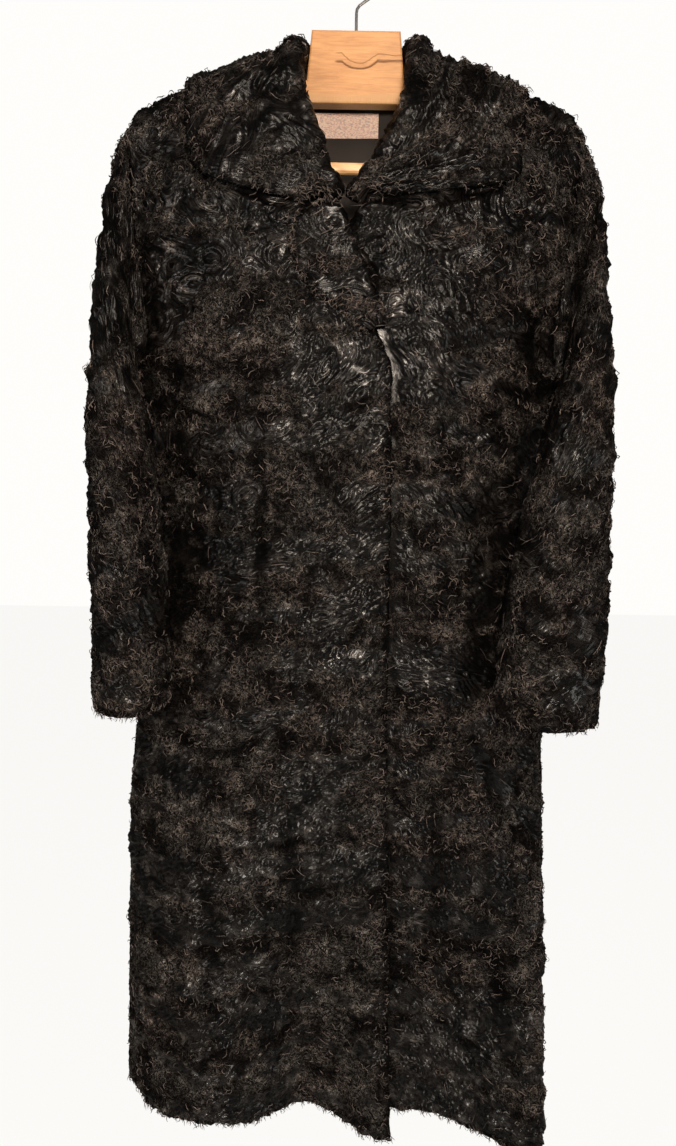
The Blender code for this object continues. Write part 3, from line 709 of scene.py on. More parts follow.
class Paint:
    # a material with one way to add nodes
    def __init__(self, name, **constants):
        self.material = bpy.data.materials.new(name)
        self.material.use_nodes = True
        self.tree = self.material.node_tree
        self.shader = self.tree.nodes["Principled BSDF"]
        for socket, value in constants.items():
            self.shader.inputs[socket.replace("_", " ")].default_value = value

    def node(self, kind, settings, sockets, output=0):
        made = self.tree.nodes.new("ShaderNode" + kind)
        for key, value in settings.items():
            if key == "stops":
                while len(made.color_ramp.elements) < len(value):
                    made.color_ramp.elements.new(0.5)
                for element, (place, colour) in zip(made.color_ramp.elements, value):
                    element.position, element.color = place, (*colour, 1.0)
            else:
                setattr(made, key, value)
        for key, value in sockets.items():
            if isinstance(value, Wire):
                self.tree.links.new(value.socket, made.inputs[key])
            else:
                made.inputs[key].default_value = value
        return Wire(self, made.outputs[output])

    def attribute(self, name):
        return self.node("Attribute", dict(attribute_name=name), {}, "Fac")

    def place(self, scale):
        # object coordinates, scaled
        here = self.node("TexCoord", {}, {}, "Object")
        return self.node("Mapping", {}, {"Vector": here, "Scale": scale})

    def part(self, axis):
        # one of the object coordinates
        return self.node("SeparateXYZ", {}, {0: self.place((1.0, 1.0, 1.0))}, axis)

    def grain(self, vector, scale=1.0, detail=2.0, roughness=0.5, distortion=0.0):
        sizes = {"Vector": vector, "Scale": scale, "Detail": detail}
        sizes.update({"Roughness": roughness, "Distortion": distortion})
        return self.node("TexNoise", {}, sizes, "Fac")

    def fibre(self, scale, detail=2.0, roughness=0.5, distortion=0.0):
        # grain with a scale of its own along each axis
        return self.grain(self.place(scale), 1.0, detail, roughness, distortion)

    def ribs(self, vector, direction, scale=1.0, distortion=0.0):
        # regular bands, as of threads side by side
        sizes = {"Vector": vector, "Scale": scale, "Distortion": distortion}
        return self.node("TexWave", dict(bands_direction=direction), sizes, "Fac")

    def blend(self, factor, a, b):
        return self.node("Mix", dict(data_type="RGBA"), {0: factor, 6: a, 7: b}, 2)

    def feed(self, **links):
        for socket, wire in links.items():
            self.tree.links.new(wire.socket, self.shader.inputs[socket.replace("_", " ")])

    def bump(self, height, depth, strength=1.0):
        sockets = {"Height": height, "Distance": depth, "Strength": strength}
        self.feed(Normal=self.node("Bump", {}, sockets))


furLook = dict(
    # painted shade: the near black blended in at the fur's hollows, seams and rims
    deep=(0.0005, 0.0004, 0.0004, 1.0),
    dark=(0.0009, 0.0007, 0.0007, 1.0),
    # the two pale colours are a painted sheen: the glossy hair's highlights put into the colour
    light=(0.58, 0.480, 0.420, 1.0),
    cool=(0.52, 0.470, 0.425, 1.0),
    smoothGloss=0.34,
    curlyGloss=0.50,
    bumpDepth=0.0024,
    strandLength=0.020,
    strandWidth=0.0020,
    curlScale=150.0,
    patchScale=30.0,
    tintScale=15.0,
)


def furFinish():
    # hair streaks run along each pelt's own direction; the curly pelts have wriggling crests
    # of distorted noise instead. Both are a painted sheen, a pale colour on the black hair, and
    # both are lost in the painted shade of the hollows and in deep dark patches.
    # The smooth pelts have a silky coat over them where the streaks are bright.
    s = furLook
    p = Paint("lambFur", Specular_IOR_Level=0.03, Coat_Roughness=0.26, Coat_IOR=1.72)
    along, beside = p.attribute("along"), p.attribute("beside")
    curly, hollow, piece = p.attribute("curly"), p.attribute("hollow"), p.attribute("piece")
    x, y = along * (1 / s["strandLength"]), beside * (1 / s["strandWidth"])
    comb = p.node("CombineXYZ", {}, {0: x, 1: y, 2: piece * 31.0})
    streaks = p.grain(comb, 1.0, 3.0, 0.6, 0.9)
    here = p.place((1.0, 1.0, 1.0))
    big = (1 - abs(p.grain(here, s["curlScale"], 1.0, 0.5, 1.6) - 0.5) * 8.0).clipped()
    small = (1 - abs(p.grain(here, s["curlScale"] * 1.9, 1.0, 0.5, 1.2) - 0.5) * 8.0).clipped()
    curls = (big * 0.70 + small * 0.42) ** 2.2
    patch = ((p.grain(here, s["patchScale"], 3.0, 0.6) - 0.41) * 6.0).clipped()
    sheen = ((p.grain(here, s["patchScale"] * 1.7, 2.0, 0.6) - 0.52) * 6.0).clipped()
    smooth = 1 - curly

    # painted sheen: pale streaks on the smooth pelts and pale crests on the curly ones, left out in random dark
    # patches and in the painted shade
    combed = (streaks * 3.0 - 1.4).clipped() * smooth * (sheen * 0.36 + 0.05)
    paintedSheen = combed + curls * curly * (sheen * 0.5 + 0.4)
    paintedSheen = (paintedSheen * (patch * 0.90 + 0.10) * (1 - hollow * 0.75)).clipped()
    tint = ((p.grain(here, s["tintScale"], 2.0) - 0.4) * 5.0).clipped()
    colour = p.blend(paintedSheen, s["dark"], p.blend(tint, s["light"], s["cool"]))
    # painted shade: hollows, seams and rims go towards near black
    colour = p.blend(hollow * 0.7, colour, s["deep"])
    gloss = streaks * 0.16 - 0.08 + curly * (s["curlyGloss"] - s["smoothGloss"]) + s["smoothGloss"]
    dull = gloss + hollow * 0.2 + (1 - patch) * 0.16
    silk = smooth * (1 - hollow) * (streaks * 2.6 - 0.85).clipped() * (sheen * 0.70 + 0.30)
    p.feed(Base_Color=colour, Roughness=dull.clipped(), Coat_Weight=(silk * 0.9).clipped())
    p.bump(streaks * smooth * 0.5 + curls * curly, s["bumpDepth"])
    return p.material


lockLook = dict(
    root=(0.0022, 0.0018, 0.0017, 1.0),
    # the pale end of the tones is a painted highlight of the glossy curls
    paleSheen=(0.190, 0.155, 0.136, 1.0),
    gloss=0.36,
    hairScale=1400.0,
)


def lockFinish():
    # loose locks: each has its own tone, with fine hairs across it. The tones run from the hair's black to a pale
    # colour that is a painted highlight of the glossy curls.
    p = Paint("looseCurls", Specular_IOR_Level=0.08, Roughness=lockLook["gloss"])
    tone = p.attribute("tone")
    hairs = p.grain(p.place((1.0, 1.0, 1.0)), lockLook["hairScale"], 2.0, 0.6)
    shade = (tone * 0.75 + hairs * 0.5 - 0.28).clipped()
    p.feed(Base_Color=p.blend(shade, lockLook["root"], lockLook["paleSheen"]))
    return p.material


liningLook = dict(dark=(0.016, 0.0128, 0.0108, 1.0), pale=(0.034, 0.0275, 0.0235, 1.0))


def liningFinish():
    # satin: a fine twill across the cloth, with soft brighter and duller places
    p = Paint("satinLining", Specular_IOR_Level=0.16)
    cloud = p.fibre((9.0, 9.0, 5.0), 3.0)
    twill = p.ribs(p.place((900.0, 900.0, 900.0)), "DIAGONAL")
    colour = p.blend(cloud, liningLook["dark"], liningLook["pale"])
    p.feed(Base_Color=colour, Roughness=cloud * 0.2 + 0.33 + twill * 0.06)
    p.bump(twill * 0.5 + cloud * 0.5, 0.0002)
    return p.material


labelLook = dict(
    # the ground and pink are lighter than the ribbon's own: painted light against the shade under the block
    pale=(1.0, 0.86, 0.72, 1.0),
    pink=(0.97, 0.72, 0.58, 1.0),
    threads=[(0.44, (0.99, 0.80, 0.66)), (0.54, (0.85, 0.50, 0.44)), (0.64, (0.45, 0.40, 0.42))],
)


def labelFinish():
    # a woven ribbon: warp and weft ribs, a pale ground with threads of pink and blue-grey. Its colours are lightened
    # as painted light, making up for the shade under the block.
    p = Paint("wovenLabel", Specular_IOR_Level=0.3)
    here = p.place((1.0, 1.0, 1.0))
    weft = p.ribs(here, "Z", 420.0, 0.6)
    warp = p.ribs(here, "X", 520.0, 0.6)
    fleck = p.fibre((420.0, 420.0, 900.0), 2.0, 0.7)
    patch = p.fibre((80.0, 80.0, 160.0), 2.0, 0.6)
    base = p.blend(patch, labelLook["pale"], labelLook["pink"])
    flecks = p.node("ValToRGB", dict(stops=labelLook["threads"]), {0: fleck})
    p.feed(Base_Color=p.blend(0.8, base, flecks), Roughness=weft * 0.15 + 0.55)
    p.bump(weft * 0.6 + warp * 0.4, 0.0002)
    return p.material


# the bar's colours are lighter than the wood's own: painted light, making up for the shade it sits in
barLook = dict(
    pale=(0.97, 0.66, 0.36),
    mid=(0.93, 0.55, 0.27),
    dark=(0.60, 0.29, 0.11),
    ringSpacing=0.0105,
    gloss=0.26,
)


def barFinish():
    # varnished wood: rings cut at a slant, bent by slow noise, with pores along the grain. Its colours are lightened
    # as painted light, making up for the shade the bar sits in.
    p = Paint("barWood", Specular_IOR_Level=0.5, Coat_Roughness=0.22, Coat_Weight=0.25)
    slow = p.fibre((14.0, 14.0, 34.0), 2.0)
    across, height = p.part(0), p.part(2)
    rings = (height + slow * 0.030 + across * 0.12) * (2 * math.pi / barLook["ringSpacing"])
    ring = p.node("Math", dict(operation="SINE"), {0: rings}) * 0.5 + 0.5
    pores = p.fibre((60.0, 300.0, 1500.0), 3.0, 0.65)
    tone = (ring * 0.42 + pores * 0.65 + slow * 0.35 - 0.32).clipped()
    stops = [(0.0, barLook["dark"]), (0.35, barLook["mid"]), (0.85, barLook["pale"])]
    colour = p.node("ValToRGB", dict(stops=stops), {0: tone})
    p.feed(Base_Color=colour, Roughness=pores * 0.2 + barLook["gloss"])
    p.bump(pores * 0.6 + ring * 0.3, 0.0004)
    return p.material


blockLook = dict(
    pale=(0.56, 0.285, 0.110, 1.0),
    mid=(0.36, 0.150, 0.048, 1.0),
    dark=(0.085, 0.026, 0.008, 1.0),
    band=(0.58, 0.375, 0.175, 1.0),
    lineHeight=-0.0990,
    lineSharp=620.0,
    upperLineUp=0.0062,
    upperLineSharp=1500.0,
    lineStart=-0.022,
    bowlMiddle=0.004,
    bowlNarrow=55.0,
    bowlDip=0.0075,
    bandTop=-0.1300,
)


def blockFinish():
    # sawn block: fine level grain, one carved line that dips and runs out to the right,
    # a paler one over it, and a worn band with upright fibres along the foot
    s = blockLook
    p = Paint("hangerWood", Specular_IOR_Level=0.4, Coat_Roughness=0.3, Coat_Weight=0.1)
    x, z = p.part(0), p.part(2)
    grain = p.fibre((38.0, 150.0, 420.0), 4.0, 0.7, 0.8)
    slow = p.fibre((22.0, 22.0, 60.0), 2.0)
    wood = p.blend((grain * 2.0 + slow * 1.0 - 0.85).clipped(), s["mid"], s["pale"])

    fromMiddle = (x - s["bowlMiddle"]) * s["bowlNarrow"]
    bowl = (1 - fromMiddle * fromMiddle).clipped() * -s["bowlDip"]
    shake = slow * 0.009 - 0.0045 + (grain - 0.5) * 0.002
    toLine = z - bowl - shake - s["lineHeight"]
    inside = ((x - s["lineStart"]) * 260.0).clipped()
    line = (1 - abs(toLine) * s["lineSharp"]).clipped() * inside
    upper = (1 - abs(toLine - s["upperLineUp"]) * s["upperLineSharp"]).clipped() * inside
    carved = (line + upper * 0.45).clipped()

    fibres = p.fibre((1500.0, 200.0, 60.0), 2.0, 0.7)
    foot = ((z + shake - s["bandTop"]) * -420.0).clipped()
    colour = p.blend(foot * 0.8, wood, p.blend(fibres, s["band"], s["mid"]))
    p.feed(Base_Color=p.blend(carved * 0.85, colour, s["dark"]), Roughness=grain * 0.2 + 0.4)
    p.bump(grain * 0.3 - carved + fibres * foot * 0.3, 0.0009)
    return p.material


wireLook = dict(dark=(0.42, 0.41, 0.40, 1.0), pale=(0.66, 0.65, 0.63, 1.0))


def wireFinish():
    # drawn wire: fine scratches round it, slightly dulled
    p = Paint("drawnWire", Metallic=1.0)
    marks = p.fibre((900.0, 900.0, 260.0), 3.0, 0.6)
    dull = p.fibre((120.0, 120.0, 120.0), 2.0)
    p.feed(Base_Color=p.blend(dull, wireLook["dark"], wireLook["pale"]), Roughness=marks * 0.2 + 0.2)
    p.bump(marks, 0.0001)
    return p.material


fur = furFinish()
curls = lockFinish()
lining = liningFinish()
print("finishes made")


def lockMesh(root, forward, normal, lock, rng):
    # each lock is a three-sided thread with pointed ends. Its path runs forward and swings
    # aside and up as a loose spiral; the ends dip back to the skin.
    count, steps = len(root), 6
    t = np.linspace(0.0, 1.0, steps)[None, :, None]
    length = rng.uniform(*lock["length"], (count, 1, 1))
    swing = rng.uniform(*lock["swing"], (count, 1, 1))
    turns = rng.uniform(*lock["turns"], (count, 1, 1))
    start = rng.uniform(0, 2 * math.pi, (count, 1, 1))
    thick = rng.uniform(*lock["thick"], (count, 1, 1)) / 2
    beside = unit(np.cross(normal, forward))[:, None, :]
    ahead, up = forward[:, None, :], normal[:, None, :]
    spin = start + 2 * math.pi * turns * t
    path = root[:, None, :] + ahead * length * (t - lock["back"])
    path = path + beside * swing * np.sin(spin) + up * swing * 0.7 * np.cos(spin)
    path = path + up * (lock["lift"] * np.sin(math.pi * t) - lock["sink"])
    way = unit(np.gradient(path, axis=1))
    side = unit(np.cross(way, up))
    rise = np.cross(side, way)
    radius = thick * np.sin(math.pi * np.clip(t, 0.12, 0.88)) ** 0.6
    rings = []
    for corner in range(3):
        angle = 2 * math.pi * corner / 3 + math.pi / 2
        rings.append(path + radius * (math.cos(angle) * side + math.sin(angle) * rise))
    body = np.stack(rings, axis=2)[:, 1:-1].reshape(count, -1, 3)
    points = np.concatenate([path[:, :1], body, path[:, -1:]], axis=1)
    each = points.shape[1]
    faces = []
    for corner in range(3):
        after = (corner + 1) % 3
        faces.append((0, 1 + after, 1 + corner))
        for ring in range(steps - 3):
            a, b = 1 + 3 * ring + corner, 1 + 3 * ring + after
            faces += [(a, b, b + 3), (a, b + 3, a + 3)]
        last = 1 + 3 * (steps - 3)
        faces.append((each - 1, last + corner, last + after))
    faces = np.array(faces)[None] + (np.arange(count) * each)[:, None, None]
    tone = np.broadcast_to(rng.uniform(0, 1, (count, 1)) ** 1.5, (count, each))
    return points.reshape(-1, 3), faces.reshape(-1, 3), tone.reshape(-1, 1)


def addLocks(name, groups):
    # joins groups of locks into one piece
    points, faces, tones, first = [], [], [], 0
    for p, f, tone in groups:
        points.append(p)
        faces.append(f + first)
        tones.append(tone)
        first += len(p)
    tone = {"tone": np.concatenate(tones)}
    return addMesh(name, np.concatenate(points), np.concatenate(faces), [curls], None, tone)


# kinds of lock: least and greatest length, swing, turns and thickness; then how far the
# middle stands up, how deep the ends sit, and the share of the length behind the root
locks = {}
for kind, length, swing, turns, thick, stand in [
    ("curl", (0.007, 0.014), (0.0008, 0.0019), (0.8, 1.7), (0.0007, 0.0013), (0.0016, 0.0006, 0.5)),
    ("combed", (0.012, 0.024), (0.0003, 0.0010), (0.3, 0.8), (0.0006, 0.0010), (0.0014, 0.0006, 0.5)),
    ("edge", (0.007, 0.013), (0.0014, 0.0026), (0.7, 1.5), (0.0008, 0.0014), (0.0024, 0.0008, 0.4)),
    ("hidden", (0.006, 0.012), (0.0014, 0.0028), (0.8, 1.8), (0.0007, 0.0012), (0.0010, 0.0008, 0.8)),
    ("tuft", (0.007, 0.012), (0.0012, 0.0022), (0.8, 1.6), (0.0008, 0.0014), (0.0032, 0.0006, 0.3)),
    ("fringe", (0.006, 0.012), (0.0005, 0.0014), (0.5, 1.2), (0.0005, 0.0010), (0.0004, 0.0, 0.3)),
]:
    lift, sink, back = stand
    locks[kind] = dict(length=length, swing=swing, turns=turns, thick=thick, lift=lift, sink=sink, back=back)


def spreadLocks(panel, count, lock, weight, seed, wander):
    # roots are drawn over the panel's points by weight, and run along the pelt's hair
    rng = np.random.default_rng(seed)
    shape = panel["points"].shape[:2]
    chanceOf = np.maximum(weight, 0).ravel() + 1e-9
    pick = rng.choice(chanceOf.size, count, p=chanceOf / chanceOf.sum())
    i, j = np.unravel_index(pick, shape)
    turn = panel["turn"][i, j] + rng.normal(0, wander, count)
    ahead = np.cos(turn)[:, None] * panel["acrossWay"][i, j]
    ahead = ahead + np.sin(turn)[:, None] * panel["downWay"][i, j]
    return lockMesh(panel["points"][i, j], unit(ahead), panel["normal"][i, j], lock, rng)


def rimLocks(panel, rim, count, lock, seed, droop):
    # roots are drawn along one rim and point outwards over it
    axis, end = rim
    rng = np.random.default_rng(seed)
    points = np.moveaxis(panel["points"], axis, 0)
    normals = np.moveaxis(panel["normal"], axis, 0)
    pick = rng.integers(0, points.shape[1], count)
    depth = rng.integers(0, 3, count)
    at = depth if end == 0 else points.shape[0] - 1 - depth
    inner = at + 4 if end == 0 else at - 4
    out = unit(points[at, pick] - points[inner, pick])
    normal = normals[at, pick]
    aside = unit(np.cross(normal, out)) * rng.normal(0, 0.7, count)[:, None]
    ahead = unit(out + aside + normal * rng.normal(0, 0.35, count)[:, None] + np.array([0, 0, -droop]))
    return lockMesh(points[at, pick], ahead, normal, lock, rng)


def wayOut(grid, axis, end):
    # distance from one rim along the grid, and the direction out over it
    run = lengthAlong(grid, axis)
    gap = run if end == 0 else np.take(run, [-1], axis=axis) - run
    near, far = (0, 1) if end == 0 else (-1, -2)
    out = unit(np.take(grid, [near], axis=axis) - np.take(grid, [far], axis=axis))
    return gap, out


# a panel's four rims, as the grid's axis and the end of it
topRim, hemRim, nearRim, farRim = (0, 0), (0, -1), (1, 0), (1, -1)
plainPanel = dict(
    ratio=8,
    wrap=False,
    strength=1.0,
    sink=0.0,
    lift=0.0,
    overhang=0.0032,
    wall=form["furWall"],
    creases=[],
)
trim = dict(
    seamWidth=0.006,
    seamShare=0.45,
    seamSink=0.0006,
    seamShade=0.4,
    deepest=0.62,
    rimShade=0.7,
    rimShadeWidth=0.008,
    rimWidth=0.0042,
    rimTuck=0.42,
)


def dressPanel(name, grid, outward, inner, s, startAcross=0.0, calm=1.0, puff=0.0):
    # lays the relief on a panel: out along the normal by the height, lower near the seams
    # and wherever calm is 0, plus the puff, and rounded over and out at each free rim
    wrap = s["wrap"]
    normal = facing(grid, wrap) * outward
    across = lengthAlong(grid, 1) + startAcross
    down = lengthAlong(grid, 0) - grid[:1, :, 2]
    f = furRelief(across, down, s["seed"], s["creases"])
    calm = np.ones(grid.shape[:2]) * s["strength"] * calm
    height = f["height"] * calm + s["lift"]
    for axis, end in s["seams"]:
        gap, _ = wayOut(grid, axis, end)
        fade = ease(gap / trim["seamWidth"])
        height = height * mix(trim["seamShare"], 1.0, fade) - trim["seamSink"] * (1 - fade)
        # painted shade along the seams, where the fur dips
        f["hollow"] = np.clip(f["hollow"] + trim["seamShade"] * (1 - fade), 0, 1)
    height = height + puff - (1 - calm) * s["sink"]
    height = np.maximum(height, -trim["deepest"] * s["wall"])  # never through the lining side
    points = grid + normal * height[..., None]
    for axis, end in s["rims"]:
        gap, out = wayOut(grid, axis, end)
        # painted shadow along each free rim, where the fur rolls under
        shade = trim["rimShade"] * (1 - ease(gap / trim["rimShadeWidth"]))
        f["hollow"] = np.clip(f["hollow"] + shade, 0, 1)
        roll = np.exp(-((gap / trim["rimWidth"]) ** 2))
        lump = 0.5 + 0.5 * noise(across / 0.014, down / 0.014, s["seed"] + 30)
        lump = lump + 0.5 * noise(across / 0.033, down / 0.033, s["seed"] + 31)
        points = points - normal * (s["wall"] * trim["rimTuck"] * roll)[..., None]
        points = points + out * (roll * s["overhang"] * lump)[..., None]
    values = {key: f[key] for key in ("along", "beside", "curly", "hollow", "piece")}
    thing = buildShell(name, points, inner, s["ratio"], wrap, [fur, lining], values)
    print(name, len(thing.data.polygons), "triangles")
    return dict(
        thing=thing,
        points=points,
        normal=facing(points, wrap) * outward,
        acrossWay=unit(slopeAcross(grid, wrap)),
        downWay=unit(np.gradient(grid, axis=0)),
        turn=f["turn"],
        curly=f["curly"],
        calm=calm,
    )


def finishPiece(thing, node, slot, **cloth):
    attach(thing, "root")
    if node:
        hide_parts(node)
    return thing


collarOver = table(
    "across front",
    [(0, 0.165), (0.053, 0.163), (0.100, 0.137), (0.149, 0.107), (0.163, 0.072), (0.168, 0.030), (0.172, -0.01)],
)
collarBehind = table(
    "across back",
    [(0, 0.155), (0.080, 0.122), (0.150, 0.051), (0.168, 0.0), (0.172, -0.01)],
)
lapelEdge = table(
    "depth across",
    [(0.24, -0.02), (0.261, -0.053), (0.292, -0.061), (0.330, -0.044), (0.356, -0.010), (0.374, 0.013), (0.380, 0.05)],
)


def straight(sizes, at):
    # reading of a table's second column against its first, in straight stretches
    knots, values = sizes.values()
    return np.interp(at, knots, values)


def belowShoulder(grid):
    return shoulderHeight(grid[..., 0]) - grid[..., 2]


def underCollar(grid):
    # 1 where the collar lies on the panel and 0 outside it
    across, drop = np.abs(grid[..., 0]), belowShoulder(grid)
    front = ease((straight(collarOver, across) - drop) / 0.012)
    behind = ease((straight(collarBehind, across) - drop) / 0.012)
    return np.where(grid[..., 1] < 0, front, behind)


def underLapel(grid):
    x, z = grid[..., 0], grid[..., 2]
    edge = straight(lapelEdge, -z)
    return ease((x - edge + 0.002) / 0.008) * ease((-z - 0.235) / 0.01) * ease((0.385 + z) / 0.008)


def underLap(grid):
    x, z = grid[..., 0], grid[..., 2]
    edge = read(frontEdges, "upper", -z)
    return 1 - ease((x - edge - 0.004) / 0.014)


def besideCollar(grid):
    # 1 just outside the collar's edge on the front, falling to 0 further down
    past = belowShoulder(grid) - straight(collarOver, np.abs(grid[..., 0]))
    beside = ease((past + 0.004) / 0.010) * (1 - ease(past / 0.030))
    return np.where(grid[..., 1] < 0, beside, 0.0)


def byArmpit(grid):
    # 1 down the side just under the armhole, where fur fills the gap to the sleeve
    x, z = np.abs(grid[..., 0]), grid[..., 2]
    return ease((x - 0.185) / 0.03) * ease((z + 0.50) / 0.05) * ease((-0.24 - z) / 0.03)


def bySleeve(grid):
    # 1 where a sleeve hangs in front of the panel
    x, z = np.abs(grid[..., 0]), grid[..., 2]
    return ease((x - 0.195) / 0.02) * ease((z + 0.80) / 0.05) * ease((-0.40 - z) / 0.03)


def liningSide(grid, outward, step, sides):
    # the wall's inner face: in along the normal, but straight down at the shoulder seam and
    # straight across at the side seams, so that neighbours stay apart
    wall = form["furWall"]
    inner = grid[::step, ::step].copy()
    inward = -facing(grid)[::step, ::step] * outward * wall
    onShoulder = np.abs(inner[0, :, 0]) > form["neckHalf"] - 0.001
    inward[0, onShoulder] = (0.0, 0.0, -wall)
    for end, sign in sides:
        belowArm = inner[:, end, 2] <= form["underarm"] + 0.004
        inward[belowArm, end] = (-sign * 1.3 * wall, 0.0, 0.0)
    return inner + inward


def frontPanel(name, s):
    under = s["under"]
    sign = 1 if under else -1
    grid = frontGrid(s["rows"], s["columns"], under)
    outward = 1 if facing(grid)[s["rows"] // 2, s["columns"] // 2, 1] < 0 else -1
    inner = liningSide(grid, outward, s["ratio"], [(-1, sign)])
    covered = underLap(grid) if under else underLapel(grid)
    covered = np.maximum(covered, 0.55 * bySleeve(grid))
    covered = np.maximum(covered, underCollar(grid))
    puff = s["collarPuff"] * besideCollar(grid) + s["armpitPuff"] * byArmpit(grid)
    return dressPanel(name, grid, outward, inner, s, grid[:, :1, 0] * sign, 1 - covered, puff)


def crease(width, depth, *path):
    return dict(path=path, width=width, depth=depth)


frontSet = dict(
    plainPanel,
    rows=545,
    columns=129,
    seams=[topRim, farRim],
    rims=[hemRim, nearRim],
    sink=0.0012,
    collarPuff=0.0042,
    armpitPuff=0.0030,
)
# long shadows and folds run along paths: across from the coat's middle, and depth
upperFront = dict(
    frontSet,
    under=False,
    seed=100,
    creases=[
        crease(0.006, 0.0050, (0.217, 0.812), (0.188, 0.833), (0.146, 0.848), (0.103, 0.840), (0.076, 0.806)),
        crease(0.006, -0.0030, (0.218, 0.800), (0.188, 0.818), (0.146, 0.832), (0.106, 0.826), (0.082, 0.800)),
        crease(0.008, 0.0040, (0.105, 0.490), (0.091, 0.560), (0.095, 0.640), (0.084, 0.724)),
        crease(0.012, 0.0045, (0.170, 0.960), (0.150, 1.040), (0.160, 1.150)),
        crease(0.010, 0.0035, (0.060, 0.930), (0.050, 1.030), (0.068, 1.140)),
    ],
)
lowerFront = dict(
    frontSet,
    under=True,
    seed=200,
    creases=[
        crease(0.010, 0.0050, (0.143, 0.829), (0.166, 0.862), (0.176, 0.921)),
        crease(0.010, 0.0060, (0.162, 1.010), (0.176, 1.097), (0.193, 1.170), (0.217, 1.250)),
        crease(0.003, -0.0022, (0.123, 0.228), (0.126, 0.263), (0.130, 0.296)),
        crease(0.005, -0.0030, (0.009, 0.291), (0.043, 0.285), (0.073, 0.290)),
        crease(0.005, -0.0030, (0.122, 0.272), (0.149, 0.286), (0.172, 0.296)),
        crease(0.010, 0.0035, (0.100, 0.900), (0.112, 1.000), (0.098, 1.120)),
    ],
)
rightFront = frontPanel("front_right_fur", upperFront)
leftFront = frontPanel("front_left_fur", lowerFront)

backSet = dict(
    plainPanel,
    rows=377,
    columns=161,
    seed=300,
    seams=[farRim, nearRim],
    rims=[hemRim],
    sink=0.0012,
    armpitPuff=0.0030,
    creases=[
        crease(0.012, 0.0045, (-0.12, 0.80), (-0.11, 0.95), (-0.13, 1.15)),
        crease(0.012, 0.0045, (0.08, 0.86), (0.10, 1.00), (0.09, 1.18)),
        crease(0.008, 0.0030, (-0.18, 0.62), (-0.08, 0.66), (0.02, 0.63)),
        crease(0.008, 0.0030, (0.03, 0.50), (0.12, 0.53), (0.20, 0.50)),
    ],
)


def backPanel(name, s):
    grid = backGrid(s["rows"], s["columns"])
    outward = 1 if facing(grid)[s["rows"] // 2, s["columns"] // 2, 1] > 0 else -1
    inner = liningSide(grid, outward, s["ratio"], [(0, -1), (-1, 1)])
    middle = s["columns"] // 2
    startAcross = -lengthAlong(grid, 1)[:, middle : middle + 1]
    puff = s["armpitPuff"] * byArmpit(grid)
    return dressPanel(name, grid, outward, inner, s, startAcross, 1 - underCollar(grid), puff)


back = backPanel("back_fur", backSet)

sleeveSet = dict(
    plainPanel,
    rows=241,
    columns=112,
    wrap=True,
    seams=[topRim],
    rims=[hemRim],
    strength=0.95,
    puff=0.0050,
)
rightCreases = [
    crease(0.005, 0.0040, (-0.060, 0.560), (-0.020, 0.590), (0.030, 0.600), (0.070, 0.585)),
    crease(0.006, 0.0030, (-0.050, 0.430), (0.000, 0.455), (0.050, 0.440)),
    crease(0.005, 0.0030, (0.000, 0.690), (0.050, 0.700), (0.090, 0.690)),
]
leftCreases = [
    crease(0.005, 0.0045, (-0.080, 0.650), (-0.030, 0.640), (0.040, 0.636)),
    crease(0.005, 0.0040, (-0.075, 0.695), (-0.020, 0.680), (0.045, 0.688)),
    crease(0.007, 0.0030, (-0.060, 0.480), (-0.010, 0.500), (0.050, 0.480)),
]


def sleevePanel(name, sizes, sign, seed, creases):
    s = dict(sleeveSet, seed=seed, creases=creases)
    grid = sleeveGrid(s["rows"], s["columns"], sizes, sign)
    normal = facing(grid, True)
    fromCentre = grid - grid.mean(axis=1, keepdims=True)
    outward = 1 if np.sum(normal * fromCentre) > 0 else -1
    inward = -normal * outward
    inward[0, :, 0] = 0.0
    inner = (grid + unit(inward) * form["furWall"])[:: s["ratio"], :: s["ratio"]]
    # the fur is flatter at the inside seam and where the sleeve faces the body, but it
    # fills the gap to the body under the armhole
    toBody = ease((dot(normal * outward, np.array([-sign * 0.8, 0.6, 0.0])) - 0.2) / 0.5)
    run, z = lengthAlong(grid, 1), grid[..., 2]
    seam = np.exp(-((np.minimum(run, run[:, -1:] - run) / 0.008) ** 2))
    calm = (1 - 0.5 * toBody) * (1 - 0.7 * seam)
    puff = s["puff"] * toBody * ease((z + 0.52) / 0.06) * ease((-0.25 - z) / 0.04)
    return dressPanel(name, grid, outward, inner, s, 0.0, calm, puff)


rightArm = sleevePanel("sleeve_right_fur", rightSleeve, -1, 400, rightCreases)
leftArm = sleevePanel("sleeve_left_fur", leftSleeve, 1, 500, leftCreases)

turnedSet = dict(
    plainPanel,
    ratio=2,
    wall=form["turnedWall"],
    seams=[],
    rims=[farRim, topRim, hemRim],
    lift=0.0012,
)
collarSet = dict(turnedSet, rows=321, columns=65, seed=600, outward=1, strength=0.9, overhang=0.0040)
lapelSet = dict(turnedSet, rows=89, columns=49, seed=700, outward=-1, strength=0.75, overhang=0.0035)


def turnedPanel(name, grid, s):
    # the collar or lapel: its fur side is the one away from the panel under it, and the fur
    # starts at the fold
    wall = grid + facing(grid) * form["turnedWall"]
    outer, inner = (wall, grid) if s["outward"] > 0 else (grid, wall)
    calm = ease(lengthAlong(outer, 1) / 0.018)
    return dressPanel(name, outer, s["outward"], inner[:: s["ratio"], :: s["ratio"]], s, 0.0, calm)


collar = turnedPanel("collar_fur", collarGrid(collarSet["rows"], collarSet["columns"]), collarSet)
lapel = turnedPanel("lapel_fur", lapelGrid(lapelSet["rows"], lapelSet["columns"]), lapelSet)
print("fur panels made")

